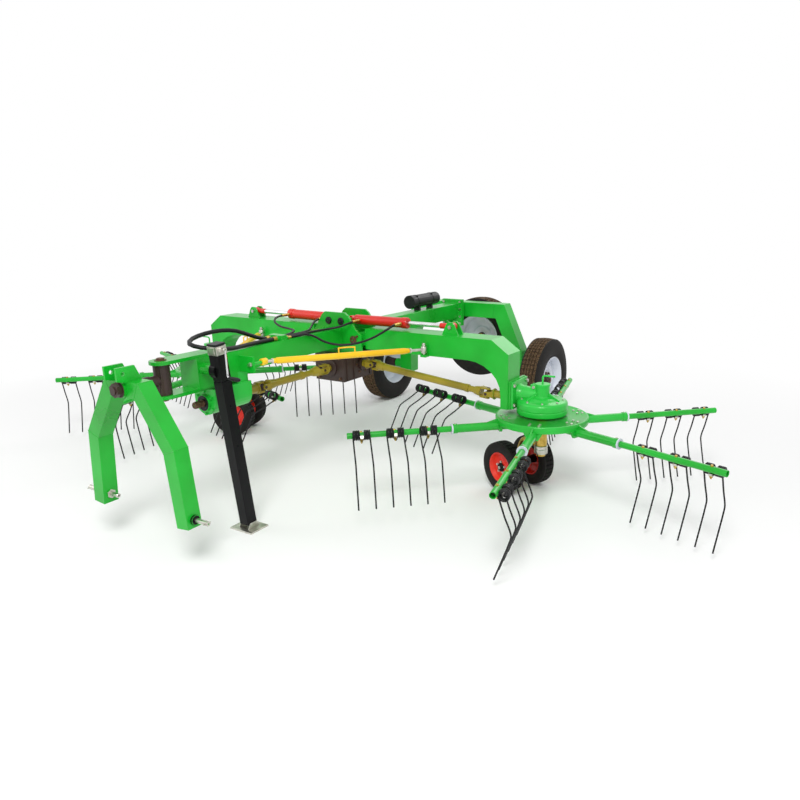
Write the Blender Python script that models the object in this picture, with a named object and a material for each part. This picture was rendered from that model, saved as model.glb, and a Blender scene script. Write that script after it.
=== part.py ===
"""Twin rotor hay rake, parked on its jack with both rotors down.

Metres, +Z up. The towing end looks along -Y and +X is the machine's left. Sizes are laid out from the floor
under the two arm hinges, and the last step moves the whole to the middle of its own outline.
"""

import bpy
import bmesh
from math import cos, pi, radians, sin, tau
from mathutils import Matrix, Vector

# Clearances
SEAT = 0.0003            # between pieces that touch
RUNNING = 0.006          # between pieces that move past each other
BITE = 0.004             # how far welded shapes sink into each other
OVERRUN = 0.01           # how far a cutter stands proud

# Facets of round shapes
WIRE_SIDES = 4
NUT_SIDES = 6
PIN_SIDES = 8
TUBE_SIDES = 12
DRUM_SIDES = 20
WHEEL_SIDES = 28
CASTOR_SIDES = 18
FACET_TURN = radians(7)  # no flat or corner of a rod lies square to the planes that it meets
SHARP_ANGLE = radians(35)
MERGE = 0.00002

# Backbone
BEAM = 0.15              # side of the square tube
BEAM_TOP = 1.195         # height of its top face
BEAM_FRONT = -1.6
NOSE_LENGTH = 0.32       # deeper box at the towing end
NOSE_WIDTH = 0.17
NOSE_DEPTH = 0.2
FORK_PLATE = 0.022
FORK_WIDTH = 0.14
FORK_PIN_RADIUS = 0.024
REAR_BEAM_END = 1.76

# Hinge housing in the middle
HOUSING_GAP = 0.25       # between its two plates
HOUSING_PLATE = 0.02
HOUSING_HALF_WIDTH = 0.262
HOUSING_BOTTOM = 0.985
HOUSING_HEIGHT = 0.335
HOUSING_WEB_HALF = 0.1
HINGE_X = 0.184
HINGE_Z = 1.105
HINGE_PIN_RADIUS = 0.025
HINGE_EYE_RADIUS = 0.05
PIN_HEAD = 0.012
BASE_PIN_X = 0.064
BASE_PIN_Z = 1.25
BASE_PIN_RADIUS = 0.018

# Headstock
YAW_Y = -1.8
ROLL_Z = 1.095
YAW_BARREL_RADIUS = 0.05
ROLL_SHAFT_RADIUS = 0.034
ROLL_NUT_RADIUS = 0.044
ROLL_NUT_LENGTH = 0.036
ROLL_SLEEVE_WALL = 0.018
ROLL_SLEEVE_LENGTH = 0.13
HEAD_Y = -2.03
HEAD_TUBE = 0.1
HEAD_SHOULDER_X = 0.13
HEAD_BEND_X = 0.36
HEAD_BEND_Z = 0.76
HEAD_FOOT_X = 0.405
HEAD_FOOT_Z = 0.29
LOWER_PIN_Z = 0.345
LOWER_PIN_RADIUS = 0.014
LOWER_PIN_REACH = 0.12
LOWER_PIN_COLLAR_RADIUS = 0.03
LOWER_PIN_COLLAR = 0.014
EAR_SPREAD = 0.11        # between the middles of the top-link ears
EAR_PLATE = 0.016
EAR_TOP = 1.235
EAR_HOLE_Y = -2.1
EAR_HOLE_Z = 1.195
EAR_HOLE_RADIUS = 0.013
EAR_ROUND = 0.04

# Jack
JACK_X = 0.245
JACK_FOOT_Y = -1.444
JACK_LEAN = radians(5.6)  # its top leans ahead
JACK_TUBE = 0.06
JACK_SLEEVE = 0.08
JACK_SLEEVE_BOTTOM = 0.03
JACK_TUBE_BOTTOM = 0.5
JACK_HEAD_RISE = 0.105   # from the middle of the flange up to the gear head
JACK_HEAD = 0.075
JACK_FOOT_LENGTH = 0.2
JACK_FOOT_WIDTH = 0.16
JACK_FOOT_PLATE = 0.012
JACK_FLANGE_DROP = 0.0655  # from the beam's top down to the flange's middle
JACK_FLANGE_RADIUS = 0.055
JACK_FLANGE_PLATE = 0.02
JACK_BOSS_RADIUS = 0.038
CRANK_HUB_RADIUS = 0.014
CRANK_HUB_REACH = 0.04
CRANK_ROD_RADIUS = 0.007
CRANK_THROW = 0.18
CRANK_GRIP_RADIUS = 0.014
CRANK_GRIP_LENGTH = 0.11

# Driveline
DRIVE_Z = 0.875
FRONT_BOX_FRONT = -1.5
FRONT_BOX_REAR = -1.18
FRONT_BOX_WIDTH = 0.2
FRONT_BOX_BOTTOM = 0.79
STUB_RADIUS = 0.022
STUB_REACH = 0.09
CENTRE_BOX_WIDTH = 0.3
CENTRE_BOX_FRONT = -0.24
CENTRE_BOX_REAR = 0.13
CENTRE_BOX_BOTTOM = 0.765
BEARING_COVER = 0.02
BEARING_COVER_RADIUS = 0.058
CROSS_RADIUS = 0.01
YOKE_GAP = 0.056         # between the two lugs of a yoke
YOKE_LUG = 0.014
YOKE_LUG_WIDTH = 0.036
YOKE_REACH = 0.052       # from the cross to the face that carries the lugs
YOKE_HUB = 0.012
LUG_STEPS = 4
FRONT_SHANK = 0.126      # between the front gearbox and its yoke
REAR_SHANK = 0.041
SHANK_RADIUS = 0.03
SHAFT_TUBE_RADIUS = 0.029
SHAFT_TUBE_WALL = 0.0045
SHAFT_NECK = 0.05        # cast sleeve that joins a yoke to its tube
SHAFT_NECK_RADIUS = 0.037
SHAFT_BARE = 0.1         # length of inner tube that shows at rest
SHAFT_SHORTENS = 0.02    # room for the lowest position
SIDE_JOINT_X = 0.27
SIDE_JOINT_Z = 0.885
OUTER_JOINT_X = 1.345
OUTER_JOINT_Z = 0.77

# Hydraulic hoses
MANIFOLD_Y = -0.8
MANIFOLD_LENGTH = 0.06
MANIFOLD_WIDTH = 0.13
MANIFOLD_HEIGHT = 0.036
SPIGOT = 0.02
SPIGOT_LIP = 0.002       # how much thicker a fitting is than its hose
HOSE = 0.018
SLEEVE = 0.03            # the two supply hoses in their sleeve
HOSE_STEPS = 2
HOSE_RESOLUTION = 2

# Lifting arms and cylinders
ARM_WIDTH = 0.2
ARM_TOP = 1.198
ARM_BOTTOM = 1.03
ARM_START = 0.272
ARM_KNEE_X = 1.22
ARM_SHOULDER_X = 1.42
ARM_END_X = 1.56
ARM_CORNER_Z = 1.1
ARM_FOOT_X = 1.5
ARM_FOOT_Z = 0.69
ARM_FLANGE = 0.018
ARM_FLANGE_TOP = 0.9
ARM_FLANGE_WIDTH = 0.26
ARM_TONGUE_WIDTH = 0.19
ROD_EYE_X = 1.04
ROD_EYE_Z = 1.256
EYE_EAR_PLATE = 0.014
EYE_EAR_GAP = 0.06
EYE_EAR_RADIUS = 0.036
EYE_PIN_RADIUS = 0.014
EYE_WIDTH = 0.04
EYE_RADIUS = 0.03
BARREL_RADIUS = 0.04
BARREL_LENGTH = 0.52
BARREL_START = 0.045
ROD_RADIUS = 0.0175
ROD_ENGAGED = 0.1
ROD_TRAVEL = 0.24
GLAND_RADIUS = 0.045
GLAND_LENGTH = 0.05
ROD_END_RADIUS = 0.022
ROD_END_LENGTH = 0.11
PORT_REACH = 0.068       # the fitting ends clear of the arm's side
PORT_INSET = 0.07

# Arm braces
BRACE_FRONT_Y = -1.13
BRACE_RADIUS = 0.023
BRACE_THREAD_RADIUS = 0.011
BRACE_TAPER = 0.04
BRACE_FRONT_THREAD = 0.07  # from an eye's middle to the thick part of the rod
BRACE_REAR_THREAD = 0.12
BRACE_BRACKET_FRONT = -1.25
BRACE_BRACKET_PLATE = 0.016
BRACE_BRACKET_HEIGHT = 0.11
BRACE_EYE_RADIUS = 0.024
BRACE_PIN_RADIUS = 0.012
BRACE_END_X = 0.86
BRACE_END_Y = -0.135
BRACE_END_Z = 1.06
BRACE_LUG = 0.05
BRACE_LUG_PLATE = 0.014

# Rotors
ROTOR_X = 1.774
ROTOR_Y = 0.04
ROTOR_PHASE = radians(42.4)
ARMS = 6
DRUM_RADIUS = 0.187
DRUM_SHOULDER = 0.02     # height and run of the bevel round its top
DRUM_TOP = 0.765
DRUM_BOTTOM = 0.665
DRUM_STEP = 0.018        # raised plate on the drum
DRUM_STEP_RADIUS = 0.105
TOWER_RADIUS = 0.048
TOWER_CAP = 0.014
TOWER_CAP_RADIUS = 0.056
TOWER_TOP = 0.885
TOWER_RIB = 0.016
NECK_RADIUS = 0.066
NECK_TOP = 0.855
COLUMN_RADIUS = 0.034
COLUMN_BOTTOM = 0.33
DISC_RADIUS = 0.342
DISC_TOP = 0.649
DISC_SKIRT = 0.046
DISC_PLATE = 0.012
HUB_RADIUS = 0.13
SOCKET_RADIUS = 0.031
SOCKET_START = 0.1
SOCKET_END = 0.67
HANGER_WIDTH = 0.14
HANGER_PLATE = 0.02
HANGER_FOOT_SHARE = 0.27 # half the width at its lower edge, as a share of its full width
COLLAR_RADIUS = 0.04
COLLAR_LENGTH = 0.035
TINE_ARM_RADIUS = 0.022
TINE_ARM_TIP = 1.43
TINE_ARM_Z = 0.588
CAM_LIFT = radians(50)   # how far the cam has rolled an arm over the swath
TINE_RADIUS = 0.0055
TINE_LEG_SPACING = 0.118
TINE_FIRST = 0.8         # radius of the innermost double tine
TINE_PITCH = 0.236
DOUBLE_TINES = 3
COIL_RADIUS = 0.037
COIL_LENGTH = 0.046
COIL_OFFSET = 0.049      # behind the arm
COIL_DROP = 0.017
CLAMP_LENGTH = 0.024
CLAMP_DEPTH = 0.036      # how far the clamp's block stands below the middle of the arm
CLAMP_RISE = 0.012
TINE_REACH = 0.535       # from the arm's middle down to the tine's tip
TINE_BEND_OFFSET = 0.095
TINE_ROUTE_SHARES = (    # behind the arm as a share of the bend's offset, down as a share of the reach
    (0.3, 0.08), (0.62, 0.26), (1.0, 0.44), (0.93, 0.54), (0.0, 1.0))
HEIGHT_CRANK_RADIUS = 0.007
HEIGHT_CRANK_RISE = 0.06
HEIGHT_CRANK_THROW = 0.1

# Castors under the rotors
CASTOR_TRAIL = 0.25
CASTOR_TURN = radians(156)   # where the left castor's wheels trail, from +X
CASTOR_TRACK = 0.295
CASTOR_TYRE_RADIUS = 0.2
CASTOR_TYRE_WIDTH = 0.11
CASTOR_RIM_RADIUS = 0.115
CASTOR_SLEEVE_RADIUS = 0.05
CASTOR_SLEEVE_BOTTOM = 0.35
CASTOR_SLEEVE_TOP = 0.53
CASTOR_BAR = 0.06
CASTOR_BEND = 0.062      # the bar bends down this far ahead of the axle
CASTOR_AXLE_RADIUS = 0.016
CASTOR_BEARING_RADIUS = 0.03

# Portal and rear wheels
PORTAL_Y = 1.95
PORTAL_TUBE = 0.15
PORTAL_END_X = 0.43
PORTAL_LEG_Z = 0.7
PORTAL_SPLAY = 0.01      # between a leg's bend and its foot
WHEEL_CLEARANCE = 0.099  # between a leg and its tyre
REAR_AXLE_Z = 0.433
REAR_TRACK_HALF = 0.984
REAR_TYRE_RADIUS = 0.433
REAR_TYRE_WIDTH = 0.22
REAR_RIM_RADIUS = 0.235
REAR_HUB_RADIUS = 0.07
REAR_AXLE_RADIUS = 0.022
AXLE_BOSS_RADIUS = 0.05
FLANGE_PLATE = 0.02
FLANGE_WIDTH = 0.24
FLANGE_BOTTOM = 0.96
FLANGE_TOP = 1.235
CANISTER_RADIUS = 0.06
CANISTER_START = 0.98
CANISTER_LENGTH = 0.44
CANISTER_SADDLE = 0.03
SPARE_X = 0.13
SPARE_Z = 0.79
SPARE_STAND_OFF = 0.045  # from the portal's rear face to the tyre
SPARE_HUB = 0.06
SPARE_HUB_REACH = 0.036  # past the middle of the tyre
SPARE_BAR_HEIGHT = 0.09
SPARE_BAR_THICKNESS = 0.016

# Routes of the hoses, chosen by hand: across, along, up
SLEEVE_ROUTE = (
    (0.035, -0.8503, 1.2103), (0.035, -0.92, 1.2106), (0.038, -1.06, 1.211), (0.058, -1.19, 1.213),
    (0.083, -1.32, 1.219), (0.083, -1.43, 1.236), (0.035, -1.52, 1.254), (-0.05, -1.535, 1.272),
    (-0.115, -1.46, 1.29), (-0.128, -1.34, 1.307), (-0.105, -1.22, 1.313), (-0.075, -1.12, 1.298),
    (-0.052, -1.03, 1.26), (-0.04, -0.95, 1.227), (-0.036, -0.9, 1.213), (-0.035, -0.88, 1.2106), (-0.035, -0.867, 1.2104),
    (-0.035, -0.8503, 1.2103))
HOSE_ROUTES = (
    ("hose_left_base", (
        (0.018, -0.7497, 1.2043), (0.018, -0.66, 1.2043), (0.02, -0.53, 1.2043), (0.028, -0.41, 1.2045),
        (0.06, -0.31, 1.208), (0.12, -0.245, 1.22), (0.164, -0.19, 1.24),
        (0.179, -0.145, 1.2505), (0.179, -0.127, 1.2505), (0.179, -0.1083, 1.2505))),
    ("hose_left_rod", (
        (0.05, -0.7497, 1.2043), (0.05, -0.7, 1.2043), (0.061, -0.64, 1.2055), (0.083, -0.58, 1.207),
        (0.112, -0.52, 1.183), (0.155, -0.455, 1.135), (0.235, -0.385, 1.108), (0.34, -0.32, 1.115), (0.455, -0.265, 1.155),
        (0.545, -0.215, 1.21), (0.585, -0.18, 1.242),
        (0.594, -0.145, 1.2533), (0.594, -0.127, 1.2533), (0.594, -0.1083, 1.2533))),
    ("hose_right_base", (
        (-0.018, -0.7497, 1.2043), (-0.018, -0.66, 1.2043), (-0.02, -0.53, 1.2045), (-0.045, -0.41, 1.207),
        (-0.11, -0.31, 1.215), (-0.152, -0.24, 1.229), (-0.174, -0.185, 1.243),
        (-0.179, -0.145, 1.2505), (-0.179, -0.127, 1.2505), (-0.179, -0.1083, 1.2505))),
    ("hose_right_rod", (
        (-0.05, -0.7497, 1.2043), (-0.05, -0.7, 1.2043), (-0.053, -0.645, 1.205), (-0.075, -0.57, 1.207), (-0.135, -0.485, 1.208),
        (-0.25, -0.42, 1.205), (-0.38, -0.375, 1.206), (-0.5, -0.32, 1.225), (-0.565, -0.25, 1.243),
        (-0.59, -0.185, 1.252), (-0.594, -0.145, 1.2533), (-0.594, -0.127, 1.2533), (-0.594, -0.1083, 1.2533))),
)

# Shapes given as shares of the sizes that they follow
EAR_OUTLINE_SHARES = (    # from the eye's middle as a share of the ear's radius, up as a share of its height
    (-2.0, 0.0), (2.0, 0.0), (1.0, 0.8), (0.5, 1.0), (-0.5, 1.0), (-1.0, 0.8))
HOUSING_OUTLINE_SHARES = (  # half width, height, from the middle of the bottom edge
    (0.82, 0.0), (1.0, 0.1), (1.0, 0.48), (0.8, 0.6), (0.52, 0.93), (0.4, 1.0))
TYRE_PROFILE_SHARES = (  # across the tyre, out from the rim's edge to the tread
    (-0.36, 0.0), (-0.5, 0.4), (-0.4, 1.0), (0.4, 1.0), (0.5, 0.4), (0.36, 0.0))
RIM_PROFILE_SHARES = (  # across the tyre, out from the axle to the rim's edge; runs on from the tyre's profile
    (0.12, 0.78), (0.1, 0.0), (-0.1, 0.0), (-0.06, 0.78))


def clear_scene():
    for thing in list(bpy.data.objects):
        bpy.data.objects.remove(thing, do_unlink=True)


def paint(name, red, green, blue, roughness, metallic=0.0):
    material = bpy.data.materials.new(name)
    material.use_nodes = True
    shader = material.node_tree.nodes["Principled BSDF"]
    shader.inputs["Base Color"].default_value = (red, green, blue, 1.0)
    shader.inputs["Roughness"].default_value = roughness
    shader.inputs["Metallic"].default_value = metallic
    return material


def box(bm, low, high):
    low, high = Vector(low), Vector(high)
    bmesh.ops.create_cube(bm, size=1, matrix=Matrix.LocRotScale((low + high) / 2, None, high - low))


def rod(bm, start, end, radius, sides=PIN_SIDES, end_radius=None, turn=FACET_TURN):
    start, end = Vector(start), Vector(end)
    run = end - start
    face = run.to_track_quat("Z", "Y").to_matrix().to_4x4() @ Matrix.Rotation(turn, 4, "Z")
    bmesh.ops.create_cone(
        bm, cap_ends=True, segments=sides, radius1=radius,
        radius2=radius if end_radius is None else end_radius,
        depth=run.length, matrix=Matrix.Translation((start + end) / 2) @ face)


def bore(bm, start, end, radius, sides=TUBE_SIDES):
    """A cutter whose flats just clear the corners of a pin that runs the same way, however the pin is turned."""
    rod(bm, start, end, (radius + SEAT) / cos(pi / sides), sides, turn=FACET_TURN + pi / sides)


def prism(bm, outline, depth):
    """Extrudes a closed outline of 3-D points, all in one plane, by the vector depth."""
    face = bm.faces.new([bm.verts.new(point) for point in outline])
    made = bmesh.ops.extrude_face_region(bm, geom=[face])
    moved = [item for item in made["geom"] if isinstance(item, bmesh.types.BMVert)]
    bmesh.ops.translate(bm, vec=depth, verts=moved)


def turned(bm, profile, centre, axis, steps):
    """Spins a closed profile of (along the axis, radius) points once round the axis."""
    centre, axis = Vector(centre), Vector(axis).normalized()
    out = Vector((0, 0, 1)) if abs(axis.z) < abs(axis.x) + abs(axis.y) else Vector((1, 0, 0))
    verts = [bm.verts.new(centre + axis * along + out * radius) for along, radius in profile]
    edges = [bm.edges.new((a, b)) for a, b in zip(verts, verts[1:] + verts[:1])]
    bmesh.ops.spin(bm, geom=verts + edges, cent=centre, axis=axis, angle=tau, steps=steps, use_merge=True)


def sweep(bm, points, section, up):
    """Runs a closed section of (side, up) points along a line with mitred corners."""
    points = [Vector(point) for point in points]
    runs = [(b - a).normalized() for a, b in zip(points, points[1:])]
    planes = [runs[0]] + [(a + b).normalized() for a, b in zip(runs, runs[1:])] + [runs[-1]]
    side = runs[0].cross(Vector(up)).normalized()
    lift = side.cross(runs[0])
    ring = [points[0] + side * u + lift * v for u, v in section]
    loops = [[bm.verts.new(corner) for corner in ring]]
    for run, point, plane in zip(runs, points[1:], planes[1:]):
        ring = [corner + run * ((point - corner).dot(plane) / run.dot(plane)) for corner in ring]
        loops.append([bm.verts.new(corner) for corner in ring])
    count = len(section)
    for near, far in zip(loops, loops[1:]):
        for i in range(count):
            bm.faces.new((near[i], near[(i + 1) % count], far[(i + 1) % count], far[i]))
    bm.faces.new(loops[0][::-1])
    bm.faces.new(loops[-1])


def square(side, height=None):
    half, tall = side / 2, (side if height is None else height) / 2
    return [(-half, -tall), (half, -tall), (half, tall), (-half, tall)]


def yoke(bm, cross, along, pin, hub=YOKE_HUB):
    """Two lugs whose holes run along pin, on a round hub that lies along the given way from the cross."""
    cross, along, pin = Vector(cross), Vector(along).normalized(), Vector(pin).normalized()
    across = along.cross(pin)
    half = YOKE_LUG_WIDTH / 2
    foot = YOKE_REACH + BITE
    outline = [along * foot + across * half]
    for i in range(LUG_STEPS + 1):
        turn = pi * i / LUG_STEPS
        outline.append(across * half * cos(turn) - along * half * sin(turn))
    outline.append(along * foot - across * half)
    for way in (1, -1):
        inner = cross + pin * way * YOKE_GAP / 2
        prism(bm, [inner + point for point in outline], pin * way * YOKE_LUG)
    rod(bm, cross + along * YOKE_REACH, cross + along * (YOKE_REACH + hub), YOKE_GAP / 2 + YOKE_LUG, TUBE_SIDES)


def cross_pin(bm, cross, pin, reach):
    """One arm line of a joint's cross, out to reach on both sides of its middle."""
    rod(bm, Vector(cross) - Vector(pin) * reach, Vector(cross) + Vector(pin) * reach, CROSS_RADIUS)


def circle(radius, sides):
    return [(radius * cos(tau * i / sides), radius * sin(tau * i / sides)) for i in range(sides)]


def mesh_object(name, bm, origin):
    """Makes an object whose origin lies at the given point of the part."""
    bmesh.ops.translate(bm, vec=-Vector(origin), verts=bm.verts)
    bmesh.ops.recalc_face_normals(bm, faces=bm.faces)
    mesh = bpy.data.meshes.new(name)
    bm.to_mesh(mesh)
    bm.free()
    thing = bpy.data.objects.new(name, mesh)
    bpy.context.scene.collection.objects.link(thing)
    thing.location = origin
    return thing


def apply_modifiers(thing):
    """Replaces an object's mesh by the one that its modifiers give."""
    bpy.context.view_layer.update()
    mesh = bpy.data.meshes.new_from_object(thing.evaluated_get(bpy.context.evaluated_depsgraph_get()))
    thing.modifiers.clear()
    thing.data = mesh
    bm = bmesh.new()
    bm.from_mesh(mesh)
    bmesh.ops.remove_doubles(bm, verts=bm.verts, dist=MERGE)
    bmesh.ops.dissolve_degenerate(bm, edges=bm.edges, dist=MERGE)
    bm.to_mesh(mesh)
    bm.free()


def weld_together(thing):
    """Joins the overlapping closed shapes of one mesh into a single skin."""
    weld = thing.modifiers.new("Weld", "BOOLEAN")
    weld.operand_type = "COLLECTION"
    weld.operation = "UNION"
    weld.solver = "EXACT"
    weld.use_self = True
    apply_modifiers(thing)


def piece(name, bm, material, parent, origin=(0, 0, 0), cut=None, welded=True, smooth=True):
    """Turns the shapes in bm into one solid, less the shapes in cut or in each of its list, and hangs it."""
    thing = mesh_object(name, bm, origin)
    thing.data.materials.append(material)
    if welded:
        weld_together(thing)
    for shapes in [] if cut is None else cut if isinstance(cut, list) else [cut]:
        cutter = mesh_object(name + "_cutter", shapes, origin)
        cutting = thing.modifiers.new("Cut", "BOOLEAN")
        cutting.operation = "DIFFERENCE"
        cutting.solver = "EXACT"
        cutting.object = cutter
        apply_modifiers(thing)
        bpy.data.objects.remove(cutter, do_unlink=True)
    if smooth:
        thing.data.shade_smooth()
        thing.data.set_sharp_from_angle(angle=SHARP_ANGLE)
    hang(thing, parent)
    return thing


def hang(thing, parent):
    """Parents an object without moving it: its parent's place is taken off its own."""
    thing.parent = parent
    if parent is not None:
        bpy.context.view_layer.update()
        thing.matrix_parent_inverse = parent.matrix_world.inverted()


def copy_of(mesh, name, parent, location):
    thing = bpy.data.objects.new(name, mesh)
    bpy.context.scene.collection.objects.link(thing)
    thing.parent = parent
    thing.location = location
    return thing


def jack_point(across, along, up):
    """A point of the leaning jack: across the machine, along it, and up its own tube from the floor."""
    return Vector((JACK_X + across, JACK_FOOT_Y + along * cos(JACK_LEAN) - up * sin(JACK_LEAN),
                   up * cos(JACK_LEAN) + along * sin(JACK_LEAN)))


def jack_box(bm, low, high):
    """A box in the jack's own leaning directions."""
    low, high = Vector(low), Vector(high)
    middle = (low + high) / 2
    turn = Matrix.Rotation(JACK_LEAN, 4, "X")
    place = Matrix.Translation(jack_point(*middle)) @ turn @ Matrix.Diagonal((*(high - low), 1))
    bmesh.ops.create_cube(bm, size=1, matrix=place)


def backbone(parent, green):
    """Front beam with its deeper nose and the clevis that carries the headstock."""
    half = BEAM / 2
    nose_low = BEAM_TOP - NOSE_DEPTH
    plate_rear = BEAM_FRONT + NOSE_LENGTH / 2
    bm = bmesh.new()
    box(bm, (-half, BEAM_FRONT + BITE, BEAM_TOP - BEAM), (half, -housing_face() - SEAT, BEAM_TOP))
    box(bm, (-NOSE_WIDTH / 2, BEAM_FRONT, nose_low), (NOSE_WIDTH / 2, BEAM_FRONT + NOSE_LENGTH, BEAM_TOP + BITE))
    for low in (BEAM_TOP, nose_low - FORK_PLATE + BITE):
        fork = [(FORK_WIDTH / 2, plate_rear), (-FORK_WIDTH / 2, plate_rear)]
        fork += [(FORK_WIDTH / 2 * cos(pi + pi * i / PIN_SIDES), YAW_Y + FORK_WIDTH / 2 * sin(pi + pi * i / PIN_SIDES))
                 for i in range(PIN_SIDES + 1)]
        prism(bm, [(x, y, low) for x, y in fork], (0, 0, FORK_PLATE))
    for side in (1, -1):
        bracket_low = BEAM_TOP - BEAM + BITE
        box(bm, (side * (half - BITE), BRACE_BRACKET_FRONT, bracket_low),
            (side * (HINGE_X + BRACE_EYE_RADIUS), BRACE_BRACKET_FRONT + BRACE_BRACKET_PLATE,
             bracket_low + BRACE_BRACKET_HEIGHT))
        rod(bm, (side * HINGE_X, BRACE_BRACKET_FRONT - PIN_HEAD, HINGE_Z),
            (side * HINGE_X, BRACE_FRONT_Y + BRACE_EYE_RADIUS, HINGE_Z), BRACE_PIN_RADIUS)
    rod(bm, (half - BITE, jack_flange_y(), jack_flange_z()),
        (jack_flange_x() - SEAT, jack_flange_y(), jack_flange_z()), JACK_BOSS_RADIUS, TUBE_SIDES)
    manifold(bm)
    cut = bmesh.new()
    bore(cut, (0, YAW_Y, nose_low - FORK_PLATE - OVERRUN), (0, YAW_Y, BEAM_TOP + FORK_PLATE + OVERRUN), FORK_PIN_RADIUS)
    return piece("front_beam", bm, green, parent, cut=cut)


def manifold(bm):
    """Block on the beam where the hoses meet, with a spigot for each."""
    rear, front = MANIFOLD_Y + MANIFOLD_LENGTH / 2, MANIFOLD_Y - MANIFOLD_LENGTH / 2
    box(bm, (-MANIFOLD_WIDTH / 2, front, BEAM_TOP - BITE), (MANIFOLD_WIDTH / 2, rear, BEAM_TOP + MANIFOLD_HEIGHT))
    for name, route in HOSE_ROUTES:
        x, y, z = route[0]
        rod(bm, (x, rear - BITE, z), (x, rear + SPIGOT, z), HOSE / 2 + SPIGOT_LIP)
    for x, y, z in (SLEEVE_ROUTE[0], SLEEVE_ROUTE[-1]):
        rod(bm, (x, front + BITE, z), (x, front - SPIGOT, z), SLEEVE / 2 + SPIGOT_LIP)


def hose(name, route, diameter, parent, rubber):
    """A hose along a smooth curve through its route's points."""
    path = [Vector(point) for point in route]
    ends = [path[0] * 2 - path[1], *path, path[-1] * 2 - path[-2]]
    points = []
    for before, start, end, after in zip(ends, ends[1:], ends[2:], ends[3:]):
        for i in range(HOSE_STEPS):
            t = i / HOSE_STEPS
            points.append(start + (end - before) * t / 2 + (before * 2 - start * 5 + end * 4 - after) * t * t / 2
                          + (start * 3 - before - end * 3 + after) * t * t * t / 2)
    points.append(path[-1])
    curve = bpy.data.curves.new(name, "CURVE")
    curve.dimensions = "3D"
    curve.bevel_depth = diameter / 2
    curve.bevel_resolution = HOSE_RESOLUTION
    curve.use_fill_caps = True
    spline = curve.splines.new("POLY")
    spline.points.add(len(points) - 1)
    for place, point in zip(spline.points, points):
        place.co = (*point, 1)
    curve.materials.append(rubber)
    thing = bpy.data.objects.new(name, curve)
    bpy.context.scene.collection.objects.link(thing)
    thing.parent = parent


def hoses(parent, rubber):
    hose("supply_sleeve", SLEEVE_ROUTE, SLEEVE, parent, rubber)
    for name, route in HOSE_ROUTES:
        hose(name, route, HOSE, parent, rubber)


def housing_face():
    return HOUSING_GAP / 2 + HOUSING_PLATE


def hinge_housing(parent, green):
    """Two shaped plates with a web between them, the arms' pins and the cylinders' base pins."""
    half = [(HOUSING_HALF_WIDTH * across, HOUSING_BOTTOM + HOUSING_HEIGHT * up)
            for across, up in HOUSING_OUTLINE_SHARES]
    outline = half + [(-x, z) for x, z in reversed(half)]
    bm = bmesh.new()
    for side in (1, -1):
        inner = side * HOUSING_GAP / 2
        prism(bm, [(x, inner, z) for x, z in outline], (0, side * HOUSING_PLATE, 0))
    reach = HOUSING_GAP / 2 + BITE
    web_top = HINGE_Z + HINGE_EYE_RADIUS
    box(bm, (-HOUSING_WEB_HALF, -reach, HOUSING_BOTTOM + BITE), (HOUSING_WEB_HALF, reach, web_top))
    pins = [(side * x, z, radius) for side in (1, -1)
            for x, z, radius in ((HINGE_X, HINGE_Z, HINGE_PIN_RADIUS), (BASE_PIN_X, BASE_PIN_Z, BASE_PIN_RADIUS))]
    for x, z, radius in pins:
        end = housing_face() + PIN_HEAD
        rod(bm, (x, -end, z), (x, end, z), radius, TUBE_SIDES)
    return piece("hinge_housing", bm, green, parent)


def rear_beam(parent, green):
    half = BEAM / 2
    bm = bmesh.new()
    box(bm, (-half, housing_face() + SEAT, BEAM_TOP - BEAM), (half, REAR_BEAM_END, BEAM_TOP))
    box(bm, (-FLANGE_WIDTH / 2, REAR_BEAM_END - BITE, FLANGE_BOTTOM), (FLANGE_WIDTH / 2, REAR_BEAM_END + FLANGE_PLATE, FLANGE_TOP))
    prism(bm, [(0 - BRACE_BRACKET_PLATE / 2, REAR_BEAM_END, FLANGE_BOTTOM + BITE),
               (0 - BRACE_BRACKET_PLATE / 2, REAR_BEAM_END, BEAM_TOP - BEAM + BITE),
               (0 - BRACE_BRACKET_PLATE / 2, REAR_BEAM_END - BEAM, BEAM_TOP - BEAM + BITE)],
          (BRACE_BRACKET_PLATE, 0, 0))
    return piece("rear_beam", bm, green, parent)


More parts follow.
